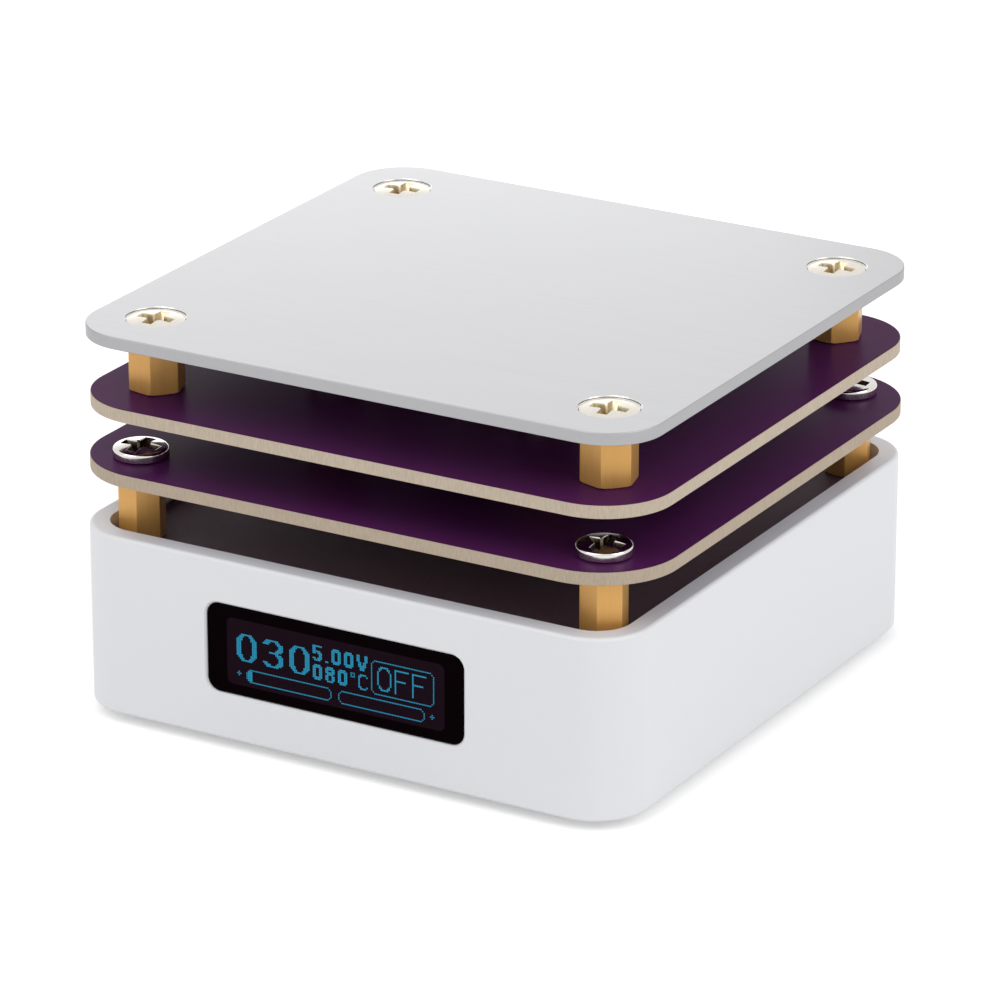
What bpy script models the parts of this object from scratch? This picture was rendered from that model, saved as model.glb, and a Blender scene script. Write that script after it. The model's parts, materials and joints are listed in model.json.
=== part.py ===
"""Small square hot plate that preheats circuit boards.

A bare heating plate stands on brass standoffs over two boards, which stand on a moulded casing
with a display in its front wall. Sizes are in metres and +Z is up. The display faces -Y. The
origin lies under the middle of the part, on the surface that its feet stand on.
"""

import math

import bmesh
import bpy
from mathutils import Matrix, Vector

# Casing
CASING_WIDTH = 0.0620
CASING_DEPTH = 0.0627
CASING_HEIGHT = 0.01885
CASING_CORNER_RADIUS = 0.0057
CASING_WALL = 0.0020
CASING_EDGE_ROUND = 0.0004
CORNER_BLOCK_REACH = 0.0033
CORNER_BLOCK_ROUND = 0.0020
CAVITY_CLEARANCE = 0.0003

# Deck inside the rim
RIM_TO_DECK = 0.0020
DECK_THICKNESS = 0.0012

# Boards and heating plate, each stepped in from the one below it
LOWER_BOARD_SIDE_REACH = 0.00125
LOWER_BOARD_END_SETBACK = 0.00045
LOWER_BOARD_CORNER_RADIUS = 0.0082
UPPER_BOARD_SIDE_STEP = 0.00035
UPPER_BOARD_END_STEP = 0.00045
UPPER_BOARD_CORNER_RADIUS = 0.0073
BOARD_THICKNESS = 0.0014
PLATE_SIDE_STEP = 0.00030
PLATE_END_STEP = 0.00005
PLATE_CORNER_RADIUS = 0.0058
PLATE_THICKNESS = 0.0013
PLATE_EDGE_BREAK = 0.00012
RIM_TO_LOWER_BOARD = 0.00505
BOARD_TO_BOARD = 0.0052
BOARD_TO_PLATE = 0.0060

# Screws and standoffs
PLATE_SCREW_INSET_X = 0.0063
PLATE_SCREW_INSET_Y = 0.0070
LOWER_POST_INSET_X = 0.0030
LOWER_POST_INSET_Y = 0.00385
SPACER_FROM_POST_X = 0.0133
SPACER_FROM_POST_Y = 0.0114
SCREW_RADIUS = 0.0015
SCREW_HEAD_RADIUS = 0.0029
SCREW_HEAD_DEPTH = 0.0010
COUNTERSINK_MARGIN = 0.00035
PLATE_SCREW_LENGTH = 0.0060
PAN_HEAD_RADIUS = 0.0028
PAN_HEAD_HEIGHT = 0.0012
BOARD_SCREW_GRIP = 0.0040
STANDOFF_FLATS = 0.0050
LOWER_STANDOFF_FLATS = 0.0042
LOWER_SCREW_RADIUS = 0.00125
STANDOFF_CHAMFER = 0.0002
SHANK_WALL = 0.0005
STUD_REACH = 0.0045
BORE_RUNOUT = 0.0005
SEAT_GAP = 0.0001
BORE_CLEARANCE = 0.00015
HOLE_CLEARANCE = 0.0002
FLAT_RECESS_SPAN_SHARE = 0.62
PAN_RECESS_SPAN_SHARE = 0.70
RECESS_DEPTH_SHARE = 0.42
RECESS_ARM_SHARE = 0.28
RECESS_FLOOR_SHARE = 0.45
HEAD_LIP_SHARE = 0.2
SCREW_TIP_SHARE = 0.3
PAN_RIM_SHARE = 0.45
PAN_TOP_SHARE = 0.60
STANDOFF_FACE_SHARE = 0.96
PLATE_SCREW_TURN = math.radians(40)
LOWER_SCREW_TURN = math.radians(35)
STANDOFF_TURN = math.radians(-15)

# Display
WINDOW_WIDTH = 0.0290
WINDOW_HEIGHT = 0.00935
WINDOW_BELOW_RIM = 0.0046
WINDOW_OFFSET_X = -0.0005
WINDOW_CORNER_RADIUS = 0.0014
WINDOW_CLEARANCE = 0.0001
WINDOW_FLANGE = 0.0008
WINDOW_FLANGE_THICKNESS = 0.0006
PANEL_REACH = 0.0005
PANEL_CORNER_RADIUS = 0.0004
PANEL_THICKNESS = 0.0012
FLEX_WIDTH = 0.0120
FLEX_THICKNESS = 0.0002
FLEX_BEND_RADIUS = 0.0014
FLEX_LANDING = 0.0025

# Base
BASE_THICKNESS = 0.0016
BASE_SCREW_INSET = 0.0045
BASE_SCREW_HEAD_RADIUS = 0.0023
BASE_SCREW_HEAD_DEPTH = 0.0011
BASE_SCREW_LENGTH = 0.0060
FOOT_RADIUS = 0.0040
FOOT_PROUD = 0.0010
FOOT_SUNK = 0.0006
FOOT_EDGE_BREAK = 0.0003
FOOT_FROM_SCREW = 0.0052

# Controller board
CONTROLLER_LIFT = 0.0032
CONTROLLER_THICKNESS = 0.0016
CONTROLLER_EDGE_GAP = 0.0005
CONTROLLER_POST_INSET_X = 0.0093
CONTROLLER_POST_INSET_Y = 0.01435
CONTROLLER_POST_RADIUS = 0.0021
CONTROLLER_SCREW_RADIUS = 0.0010
CONTROLLER_SCREW_HEAD_RADIUS = 0.0019
CONTROLLER_SCREW_HEAD_HEIGHT = 0.0010
CONTROLLER_SCREW_GRIP = 0.0025
PIN_PROUD = 0.0006

# Buttons and their switches
BUTTON_SPACING = 0.0160
BUTTON_LENGTH = 0.0080
BUTTON_HEIGHT = 0.0036
BUTTON_PROUD = 0.0011
BUTTON_EDGE_ROUND = 0.0005
BUTTON_CLEARANCE = 0.0002
BUTTON_FLANGE = 0.0010
BUTTON_FLANGE_THICKNESS = 0.0007
BUTTON_TRAVEL = 0.00025
SWITCH_WIDTH = 0.0046
SWITCH_DEPTH = 0.0034
SWITCH_HEIGHT = 0.0036
SWITCH_CORNER_RADIUS = 0.0003
PLUNGER_RADIUS = 0.0009
PLUNGER_PROUD = 0.0008
PLUNGER_SEATED = 0.0012

# Power socket
SOCKET_WIDTH = 0.0089
SOCKET_HEIGHT = 0.0032
SOCKET_LENGTH = 0.0073
SOCKET_SHELL = 0.0003
SOCKET_BACK_WALL = 0.0009
SOCKET_RECESS = 0.0003
SOCKET_CLEARANCE = 0.00025
TONGUE_WIDTH = 0.0067
TONGUE_THICKNESS = 0.0007
TONGUE_SETBACK = 0.0010
TONGUE_EDGE_RADIUS = 0.00015

# Heater, its sensor and their leads
HEATER_THICKNESS = 0.0006
HEATER_MARGIN = 0.0012
HEATER_CORNER_RADIUS = 0.0020
SENSOR_WIDTH = 0.0032
SENSOR_DEPTH = 0.0044
SENSOR_THICKNESS = 0.0014
SENSOR_TAPER = 0.0004
SENSOR_CORNER_RADIUS = 0.0008
LEAD_SPACING = 0.0040
LEAD_TOP_Y = 0.0042
LEAD_END_Y = 0.0058
HEATER_LEAD_RADIUS = 0.0008
SENSOR_LEAD_RADIUS = 0.0006
LEAD_SLOT_MARGIN = 0.0012
LEAD_STRAIGHT_SHARE = 0.1
CONNECTOR_DEPTH = 0.0052
CONNECTOR_HEIGHT = 0.0048
CONNECTOR_END = 0.0018
CONNECTOR_CORNER = 0.0004
WELL_DEPTH = 0.0012

# Parts on the controller board
CHIP_SIZE = 0.0070
CHIP_THICKNESS = 0.0013
CHIP_LEG_REACH = 0.0010
CHIP_LEG_PITCH = 0.0012
CHIP_LEG_WIDTH = 0.0005
CHIP_LEG_THICKNESS = 0.0003
CHIP_LEGS_PER_SIDE = 5
CHIP_LEG_ROOT = 0.0002
CHIP_TOP_INSET = 0.0002
CHIP_CORNER = 0.0005
CHIP_X = -0.0080
CHIP_Y = -0.0080
TRANSISTOR_WIDTH = 0.0052
TRANSISTOR_DEPTH = 0.0062
TRANSISTOR_THICKNESS = 0.0015
TRANSISTOR_CORNER = 0.0004
TRANSISTOR_TAB_REACH = 0.0014
TRANSISTOR_TAB_WIDTH = 0.0042
TRANSISTOR_TAB_THICKNESS = 0.0005
TRANSISTOR_TAB_LIFT = 0.00005
TRANSISTOR_FROM_POST_X = 0.0080
TRANSISTOR_FROM_POST_Y = 0.0040
INDUCTOR_SIZE = 0.0064
INDUCTOR_HEIGHT = 0.0032
INDUCTOR_CORNER_RADIUS = 0.0013
INDUCTOR_TOP_ROUND = 0.0004
INDUCTOR_FROM_CONNECTOR = 0.0035
INDUCTOR_Y = 0.0030

# Fineness of round forms
CORNER_STEPS = 6
SMALL_CORNER_STEPS = 4
HEAD_SIDES = 16
ROUND_SIDES = 12
EDGE_STEPS = 2
DOME_STEPS = 3
FLEX_STEPS = 4
LEAD_POINTS = 11
SHARP_ANGLE = math.radians(35)
OVERSHOOT = 0.0005

# Heights, from the feet up
CASING_BOTTOM = FOOT_PROUD
RIM = CASING_BOTTOM + CASING_HEIGHT
DECK_TOP = RIM - RIM_TO_DECK
DECK_BOTTOM = DECK_TOP - DECK_THICKNESS
BLOCK_TOP = DECK_BOTTOM - SEAT_GAP
BASE_TOP = CASING_BOTTOM + BASE_THICKNESS
BLOCK_BOTTOM = BASE_TOP + SEAT_GAP
CONTROLLER_BOTTOM = BASE_TOP + CONTROLLER_LIFT + SEAT_GAP
CONTROLLER_TOP = CONTROLLER_BOTTOM + CONTROLLER_THICKNESS
PARTS_LEVEL = CONTROLLER_TOP + SEAT_GAP
LOWER_BOARD_BOTTOM = RIM + RIM_TO_LOWER_BOARD
LOWER_BOARD_TOP = LOWER_BOARD_BOTTOM + BOARD_THICKNESS
UPPER_BOARD_BOTTOM = LOWER_BOARD_TOP + BOARD_TO_BOARD
UPPER_BOARD_TOP = UPPER_BOARD_BOTTOM + BOARD_THICKNESS
PLATE_BOTTOM = UPPER_BOARD_TOP + BOARD_TO_PLATE
PLATE_TOP = PLATE_BOTTOM + PLATE_THICKNESS
HEATER_BOTTOM = PLATE_BOTTOM - SEAT_GAP - HEATER_THICKNESS
SENSOR_BOTTOM = HEATER_BOTTOM - SEAT_GAP - SENSOR_THICKNESS
SWITCH_MIDDLE = PARTS_LEVEL + SWITCH_HEIGHT / 2
SOCKET_MIDDLE = PARTS_LEVEL + SOCKET_HEIGHT / 2
WINDOW_MIDDLE = RIM - WINDOW_BELOW_RIM - WINDOW_HEIGHT / 2

# Plan sizes
INNER_WIDTH = CASING_WIDTH - 2 * CASING_WALL
INNER_DEPTH = CASING_DEPTH - 2 * CASING_WALL
INNER_CORNER_RADIUS = CASING_CORNER_RADIUS - CASING_WALL
LOWER_BOARD_WIDTH = CASING_WIDTH + 2 * LOWER_BOARD_SIDE_REACH
LOWER_BOARD_DEPTH = CASING_DEPTH - 2 * LOWER_BOARD_END_SETBACK
UPPER_BOARD_WIDTH = LOWER_BOARD_WIDTH - 2 * UPPER_BOARD_SIDE_STEP
UPPER_BOARD_DEPTH = LOWER_BOARD_DEPTH - 2 * UPPER_BOARD_END_STEP
PLATE_WIDTH = UPPER_BOARD_WIDTH - 2 * PLATE_SIDE_STEP
PLATE_DEPTH = UPPER_BOARD_DEPTH - 2 * PLATE_END_STEP
PLATE_POST = (PLATE_WIDTH / 2 - PLATE_SCREW_INSET_X, PLATE_DEPTH / 2 - PLATE_SCREW_INSET_Y)
LOWER_POST = (INNER_WIDTH / 2 - LOWER_POST_INSET_X, INNER_DEPTH / 2 - LOWER_POST_INSET_Y)
SPACER_POST = (PLATE_POST[0] - SPACER_FROM_POST_X, PLATE_POST[1] - SPACER_FROM_POST_Y)
BASE_SCREW = (INNER_WIDTH / 2 - BASE_SCREW_INSET, INNER_DEPTH / 2 - BASE_SCREW_INSET)
FOOT = (BASE_SCREW[0] - FOOT_FROM_SCREW, BASE_SCREW[1] - FOOT_FROM_SCREW)
BLOCK_X = LOWER_POST[0] - CORNER_BLOCK_REACH
BLOCK_Y = LOWER_POST[1] - CORNER_BLOCK_REACH
STANDOFF_CORNER_RADIUS = STANDOFF_FLATS / math.sqrt(3)
SHANK_RADIUS = SCREW_RADIUS + BORE_CLEARANCE + SHANK_WALL
FLANGE_OUTER_X = -INNER_WIDTH / 2 + SEAT_GAP
PLUNGER_TIP_X = FLANGE_OUTER_X + BUTTON_FLANGE_THICKNESS + SEAT_GAP
SWITCH_FACE_X = PLUNGER_TIP_X + PLUNGER_PROUD
CONTROLLER_POST = (-SWITCH_FACE_X - CONTROLLER_POST_INSET_X, INNER_DEPTH / 2 - CONTROLLER_POST_INSET_Y)
CONNECTOR_WIDTH = 2 * (LEAD_SPACING + CONNECTOR_END)
TRANSISTOR_X = CONTROLLER_POST[0] - TRANSISTOR_FROM_POST_X
TRANSISTOR_Y = TRANSISTOR_FROM_POST_Y - CONTROLLER_POST[1]
INDUCTOR_X = CONNECTOR_WIDTH / 2 + INDUCTOR_FROM_CONNECTOR + INDUCTOR_SIZE / 2
PANEL_FRONT_Y = -INNER_DEPTH / 2 + SEAT_GAP + WINDOW_FLANGE_THICKNESS + SEAT_GAP
PANEL_BACK_Y = PANEL_FRONT_Y + PANEL_THICKNESS
LEAD_SLOT_Y = (LEAD_TOP_Y + LEAD_END_Y) / 2
LEAD_SLOT_WIDTH = 2 * (LEAD_SPACING + HEATER_LEAD_RADIUS + LEAD_SLOT_MARGIN)
LEAD_SLOT_DEPTH = (LEAD_END_Y - LEAD_TOP_Y) + 2 * (HEATER_LEAD_RADIUS + LEAD_SLOT_MARGIN / 2)

FRONT = Vector((0, -1, 0))
BACK = Vector((0, 1, 0))
LEFT = Vector((-1, 0, 0))
RIGHT = Vector((1, 0, 0))
CORNERS = {
    "front_left": (-1, -1),
    "front_right": (1, -1),
    "back_right": (1, 1),
    "back_left": (-1, 1),
}


def material(name, colour, roughness, metallic=0.0):
    """A plain finish: colour, roughness and metallic value."""
    made = bpy.data.materials.new(name)
    made.use_nodes = True
    shader = made.node_tree.nodes["Principled BSDF"]
    shader.inputs["Base Color"].default_value = (*colour, 1.0)
    shader.inputs["Roughness"].default_value = roughness
    shader.inputs["Metallic"].default_value = metallic
    return made


def upright(outward):
    """Turns a flat drawing upright: its y goes up and its z points outward from the part."""
    up = Vector((0, 0, 1))
    return Matrix((up.cross(outward), up, outward)).transposed().to_4x4()


def rectangle(width, depth, radius, steps=SMALL_CORNER_STEPS):
    """Outline of a rectangle with round corners, counter-clockwise about the origin."""
    radius = min(radius, width / 2, depth / 2)
    outline = []
    for quarter, (side_x, side_y) in enumerate(((1, 1), (-1, 1), (-1, -1), (1, -1))):
        centre = Vector((side_x * (width / 2 - radius), side_y * (depth / 2 - radius)))
        for step in range(steps + 1):
            angle = (quarter + step / steps) * math.pi / 2
            point = centre + radius * Vector((math.cos(angle), math.sin(angle)))
            if not outline or (point - outline[-1]).length > 1e-7:
                outline.append(point)
    if (outline[0] - outline[-1]).length < 1e-7:
        outline.pop()
    return outline


def notched(left, right, front, back, notch_x, notch_y, radius, steps=SMALL_CORNER_STEPS):
    """Outline of a rectangle whose corners are cut back square to notch_x and notch_y."""
    outline = []
    reaches = ((right, back), (left, back), (left, front), (right, front))
    for quarter, (reach_x, reach_y) in enumerate(reaches):
        side = Vector((math.copysign(1, reach_x), math.copysign(1, reach_y)))
        centre = Vector((side.x * (notch_x + radius), side.y * (notch_y + radius)))
        corner = [Vector((reach_x, side.y * notch_y))]
        for step in range(steps + 1):
            angle = step / steps * math.pi / 2
            corner.append(centre - radius * Vector((side.x * math.sin(angle), side.y * math.cos(angle))))
        corner.append(Vector((side.x * notch_x, reach_y)))
        outline += corner if quarter % 2 == 0 else reversed(corner)
    return outline


def cross(span, width):
    """Outline of a plus sign with four arms."""
    arm, half = span / 2, width / 2
    quarter = [Vector((arm, -half)), Vector((arm, half)), Vector((half, half))]
    return [Matrix.Rotation(turn * math.pi / 2, 2) @ point for turn in range(4) for point in quarter]


def circle(radius, sides=ROUND_SIDES):
    """Outline of a circle."""
    turns = [index * math.tau / sides for index in range(sides)]
    return [Vector((radius * math.cos(turn), radius * math.sin(turn))) for turn in turns]


def hexagon(flats):
    """Outline of a hexagon with a point at each corner and at the middle of each side."""
    outline = []
    for index in range(12):
        turn = index * math.pi / 6
        radius = flats / 2 if index % 2 else flats / math.sqrt(3)
        outline.append(Vector((radius * math.cos(turn), radius * math.sin(turn))))
    return outline


def add_loft(solid, sections, place=None):
    """Adds a closed skin over sections, each an outline and its height, with flat ends."""
    place = place or Matrix.Identity(4)
    rings = []
    for outline, height in sections:
        rings.append([solid.verts.new(place @ Vector((x, y, height))) for x, y in outline])
    count = len(rings[0])
    for ring, following in zip(rings, rings[1:]):
        for index in range(count):
            after = (index + 1) % count
            solid.faces.new((ring[index], ring[after], following[after], following[index]))
    solid.faces.new(tuple(reversed(rings[0])))
    solid.faces.new(tuple(rings[-1]))


def loft(sections, place=None):
    """A new solid over sections."""
    solid = bmesh.new()
    add_loft(solid, sections, place)
    return solid


def boolean(body, tool, operation="DIFFERENCE"):
    """The body after a Boolean with the tool. Both are used up."""
    scene = bpy.context.scene.collection
    pieces = []
    for name, solid in (("body", body), ("tool", tool)):
        mesh = bpy.data.meshes.new(name)
        solid.to_mesh(mesh)
        solid.free()
        pieces.append(bpy.data.objects.new(name, mesh))
        scene.objects.link(pieces[-1])
    step = pieces[0].modifiers.new("step", "BOOLEAN")
    step.operation = operation
    step.object = pieces[1]
    result = bmesh.new()
    result.from_object(pieces[0], bpy.context.evaluated_depsgraph_get())
    for piece in pieces:
        mesh = piece.data
        bpy.data.objects.remove(piece)
        bpy.data.meshes.remove(mesh)
    return result


def holes(places, radius, low, high, sides=ROUND_SIDES):
    """Round cutters that stand at plan positions, all in one solid."""
    tool = bmesh.new()
    section = circle(radius, sides)
    for x, y in places:
        add_loft(tool, [(section, low), (section, high)], Matrix.Translation((x, y, 0)))
    return tool


def corners_of(post):
    """The four plan positions of a post that is mirrored to each corner."""
    return [(side_x * post[0], side_y * post[1]) for side_x, side_y in CORNERS.values()]


def mesh_of(name, solid):
    """A mesh, smooth over its round faces and sharp at its edges."""
    mesh = bpy.data.meshes.new(name)
    bmesh.ops.recalc_face_normals(solid, faces=solid.faces)
    solid.to_mesh(mesh)
    solid.free()
    mesh.shade_smooth()
    mesh.set_sharp_from_angle(angle=SHARP_ANGLE)
    return mesh


def place_piece(name, mesh, finish, location=(0, 0, 0), turn=None, parent=None):
    """Puts a mesh in the scene as one named piece."""
    if not mesh.materials:
        mesh.materials.append(finish)
    piece = bpy.data.objects.new(name, mesh)
    piece.location = location
    if turn:
        piece.rotation_euler = turn.to_euler()
    piece.parent = parent
    bpy.context.scene.collection.objects.link(piece)
    return piece


def at_corners(name, mesh, finish, post, height, turn=0.0):
    """One copy of a mesh at each corner."""
    for corner, (side_x, side_y) in CORNERS.items():
        location = (side_x * post[0], side_y * post[1], height)
        place_piece(f"{name}_{corner}", mesh, finish, location, Matrix.Rotation(turn, 4, "Z"))


def recess(head_radius, head_top, span_share):
    """Cutter for a cross recess in a screw head. Its arms taper from the head's face to a floor."""
    span = 2 * head_radius * span_share
    arm = span * RECESS_ARM_SHARE
    depth = head_radius * RECESS_DEPTH_SHARE
    rise = OVERSHOOT / 4
    spread = span * (1 - RECESS_FLOOR_SHARE) * rise / depth
    return loft([
        (cross(span * RECESS_FLOOR_SHARE, arm), head_top - depth),
        (cross(span + spread, arm), head_top + rise),
    ])


def countersunk_screw(radius, head_radius, head_depth, length, sides):
    """Flat-head screw whose top is at height 0."""
    lip = HEAD_LIP_SHARE * head_depth
    tip = SCREW_TIP_SHARE * radius
    body = loft([
        (circle(radius - tip, sides), -length),
        (circle(radius, sides), tip - length),
        (circle(radius, sides), -head_depth),
        (circle(head_radius, sides), -lip),
        (circle(head_radius, sides), 0),
    ])
    return boolean(body, recess(head_radius, 0, FLAT_RECESS_SPAN_SHARE))


def pan_screw(radius, head_radius, head_height, length, sides):
    """Domed screw whose head sits on height 0."""
    tip = SCREW_TIP_SHARE * radius
    profile = [(radius - tip, -length), (radius, tip - length), (radius, 0), (head_radius, 0)]
    for step in range(DOME_STEPS + 1):
        angle = step / DOME_STEPS * math.pi / 2
        across = PAN_TOP_SHARE + (1 - PAN_TOP_SHARE) * math.cos(angle)
        up = PAN_RIM_SHARE + (1 - PAN_RIM_SHARE) * math.sin(angle)
        profile.append((head_radius * across, head_height * up))
    body = loft([(circle(across, sides), height) for across, height in profile])
    return boolean(body, recess(head_radius, head_height, PAN_RECESS_SPAN_SHARE))


def standoff(flats, length, tail_radius, tail_length, bore_radius, bore_depth):
    """Hexagonal post on height 0 with a round tail below it and a bore in its top."""
    face = circle(STANDOFF_FACE_SHARE * flats / 2)
    return loft([
        (circle(tail_radius), -tail_length),
        (circle(tail_radius), 0),
        (face, 0),
        (hexagon(flats), STANDOFF_CHAMFER),
        (hexagon(flats), length - STANDOFF_CHAMFER),
        (face, length),
        (circle(bore_radius), length),
        (circle(bore_radius), length - bore_depth),
    ])


def make_plate_stack(finish):
    """Heating plate, its screws and the standoffs under it."""
    sections = []
    for inset, height in (
        (PLATE_EDGE_BREAK, PLATE_BOTTOM),
        (0, PLATE_BOTTOM + PLATE_EDGE_BREAK),
        (0, PLATE_TOP - PLATE_EDGE_BREAK),
        (PLATE_EDGE_BREAK, PLATE_TOP),
    ):
        outline = rectangle(
            PLATE_WIDTH - 2 * inset, PLATE_DEPTH - 2 * inset, PLATE_CORNER_RADIUS - inset, CORNER_STEPS
        )
        sections.append((outline, height))
    sinks = bmesh.new()
    mouth = SCREW_HEAD_RADIUS + COUNTERSINK_MARGIN
    neck = SCREW_RADIUS + COUNTERSINK_MARGIN
    lip = HEAD_LIP_SHARE * SCREW_HEAD_DEPTH
    for x, y in corners_of(PLATE_POST):
        add_loft(sinks, [
            (circle(neck, HEAD_SIDES), PLATE_BOTTOM - OVERSHOOT),
            (circle(neck, HEAD_SIDES), PLATE_TOP - SCREW_HEAD_DEPTH),
            (circle(mouth, HEAD_SIDES), PLATE_TOP - lip),
            (circle(mouth, HEAD_SIDES), PLATE_TOP + OVERSHOOT),
        ], Matrix.Translation((x, y, 0)))
    plate = boolean(loft(sections), sinks)
    place_piece("heating_plate", mesh_of("heating_plate", plate), finish["aluminium"])
    screw = mesh_of("plate_screw", countersunk_screw(
        SCREW_RADIUS, SCREW_HEAD_RADIUS, SCREW_HEAD_DEPTH, PLATE_SCREW_LENGTH, HEAD_SIDES
    ))
    at_corners("plate_screw", screw, finish["nickel"], PLATE_POST, PLATE_TOP, PLATE_SCREW_TURN)
    length = BOARD_TO_PLATE - 2 * SEAT_GAP
    bore = min(PLATE_SCREW_LENGTH - PLATE_THICKNESS + BORE_RUNOUT, length)
    post = standoff(
        STANDOFF_FLATS, length, SHANK_RADIUS, BOARD_THICKNESS + SEAT_GAP,
        SCREW_RADIUS + BORE_CLEARANCE, bore,
    )
    mesh = mesh_of("upper_standoff", post)
    height = UPPER_BOARD_TOP + SEAT_GAP
    at_corners("upper_standoff", mesh, finish["brass"], PLATE_POST, height, STANDOFF_TURN)


def make_board(name, width, depth, radius, bottom, thickness, drilled, finish):
    """A flat board with round holes and a slot for the leads."""
    outline = rectangle(width, depth, radius, CORNER_STEPS)
    body = loft([(outline, bottom), (outline, bottom + thickness)])
    tool = bmesh.new()
    low, high = bottom - OVERSHOOT, bottom + thickness + OVERSHOOT
    for post, hole_radius in drilled:
        for x, y in corners_of(post):
            section = circle(hole_radius + HOLE_CLEARANCE)
            add_loft(tool, [(section, low), (section, high)], Matrix.Translation((x, y, 0)))
    slot = rectangle(LEAD_SLOT_WIDTH, LEAD_SLOT_DEPTH, LEAD_SLOT_DEPTH / 2)
    add_loft(tool, [(slot, low), (slot, high)], Matrix.Translation((0, LEAD_SLOT_Y, 0)))
    place_piece(name, mesh_of(name, boolean(body, tool)), finish)


def make_boards(finish):
    """The two boards, the deck, and the screws and posts between them."""
    make_board(
        "upper_board", UPPER_BOARD_WIDTH, UPPER_BOARD_DEPTH, UPPER_BOARD_CORNER_RADIUS,
        UPPER_BOARD_BOTTOM, BOARD_THICKNESS,
        ((PLATE_POST, SHANK_RADIUS), (SPACER_POST, SCREW_RADIUS)), finish["purple"],
    )
    make_board(
        "lower_board", LOWER_BOARD_WIDTH, LOWER_BOARD_DEPTH, LOWER_BOARD_CORNER_RADIUS,
        LOWER_BOARD_BOTTOM, BOARD_THICKNESS,
        ((LOWER_POST, LOWER_SCREW_RADIUS), (SPACER_POST, SHANK_RADIUS)), finish["purple"],
    )
    make_board(
        "insulation_deck", INNER_WIDTH - 2 * CAVITY_CLEARANCE, INNER_DEPTH - 2 * CAVITY_CLEARANCE,
        INNER_CORNER_RADIUS - CAVITY_CLEARANCE, DECK_BOTTOM, DECK_THICKNESS,
        ((LOWER_POST, LOWER_SCREW_RADIUS),), finish["charcoal"],
    )
    grip = BOARD_THICKNESS + 2 * SEAT_GAP + BOARD_SCREW_GRIP
    screw = pan_screw(SCREW_RADIUS, PAN_HEAD_RADIUS, PAN_HEAD_HEIGHT, grip, ROUND_SIDES)
    mesh = mesh_of("inner_screw", screw)
    at_corners("inner_screw", mesh, finish["nickel"], SPACER_POST, UPPER_BOARD_TOP + SEAT_GAP)
    screw = pan_screw(LOWER_SCREW_RADIUS, PAN_HEAD_RADIUS, PAN_HEAD_HEIGHT, grip, HEAD_SIDES)
    mesh = mesh_of("lower_screw", screw)
    height = LOWER_BOARD_TOP + SEAT_GAP
    at_corners("lower_screw", mesh, finish["nickel"], LOWER_POST, height, LOWER_SCREW_TURN)
    spacer = standoff(
        STANDOFF_FLATS, BOARD_TO_BOARD - 2 * SEAT_GAP, SHANK_RADIUS, BOARD_THICKNESS + SEAT_GAP,
        SCREW_RADIUS + BORE_CLEARANCE, BOARD_SCREW_GRIP + BORE_RUNOUT,
    )
    mesh = mesh_of("inner_standoff", spacer)
    at_corners("inner_standoff", mesh, finish["brass"], SPACER_POST, height, STANDOFF_TURN)
    post = standoff(
        LOWER_STANDOFF_FLATS, LOWER_BOARD_BOTTOM - DECK_TOP - 2 * SEAT_GAP, LOWER_SCREW_RADIUS,
        DECK_THICKNESS + 2 * SEAT_GAP + STUD_REACH, LOWER_SCREW_RADIUS + BORE_CLEARANCE,
        BOARD_SCREW_GRIP + BORE_RUNOUT,
    )
    mesh = mesh_of("lower_standoff", post)
    at_corners("lower_standoff", mesh, finish["brass"], LOWER_POST, DECK_TOP + SEAT_GAP, STANDOFF_TURN)


def casing_shell():
    """Outer form of the casing, its edges rounded over."""
    edge = []
    for step in range(EDGE_STEPS + 1):
        angle = step / EDGE_STEPS * math.pi / 2
        inset = CASING_EDGE_ROUND * (1 - math.sin(angle))
        edge.append((inset, CASING_EDGE_ROUND * (1 - math.cos(angle))))
    low = [(inset, CASING_BOTTOM + rise) for inset, rise in edge]
    high = [(inset, RIM - rise) for inset, rise in reversed(edge)]
    sections = []
    for inset, height in low + high:
        width = CASING_WIDTH - 2 * inset
        depth = CASING_DEPTH - 2 * inset
        outline = rectangle(width, depth, CASING_CORNER_RADIUS - inset, CORNER_STEPS)
        sections.append((outline, height))
    return loft(sections)


def button_places():
    """Middle of each button on the left wall."""
    return {
        "front": Vector((0, -BUTTON_SPACING / 2, SWITCH_MIDDLE)),
        "back": Vector((0, BUTTON_SPACING / 2, SWITCH_MIDDLE)),
    }


def wall_openings():
    """Cutters for the window, the buttons and the power socket."""
    tool = bmesh.new()
    through = CASING_WALL + OVERSHOOT
    window = rectangle(WINDOW_WIDTH, WINDOW_HEIGHT, WINDOW_CORNER_RADIUS)
    place = Matrix.Translation((WINDOW_OFFSET_X, -CASING_DEPTH / 2, WINDOW_MIDDLE)) @ upright(FRONT)
    add_loft(tool, [(window, -through), (window, OVERSHOOT)], place)
    opening = (BUTTON_LENGTH + 2 * BUTTON_CLEARANCE, BUTTON_HEIGHT + 2 * BUTTON_CLEARANCE)
    button = rectangle(*opening, opening[1])
    for middle in button_places().values():
        place = Matrix.Translation((-CASING_WIDTH / 2, middle.y, middle.z)) @ upright(LEFT)
        add_loft(tool, [(button, -through), (button, OVERSHOOT)], place)
    opening = (SOCKET_WIDTH + 2 * SOCKET_CLEARANCE, SOCKET_HEIGHT + 2 * SOCKET_CLEARANCE)
    socket = rectangle(*opening, opening[1])
    place = Matrix.Translation((0, CASING_DEPTH / 2, SOCKET_MIDDLE)) @ upright(BACK)
    add_loft(tool, [(socket, -through), (socket, OVERSHOOT)], place)
    return tool


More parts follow.
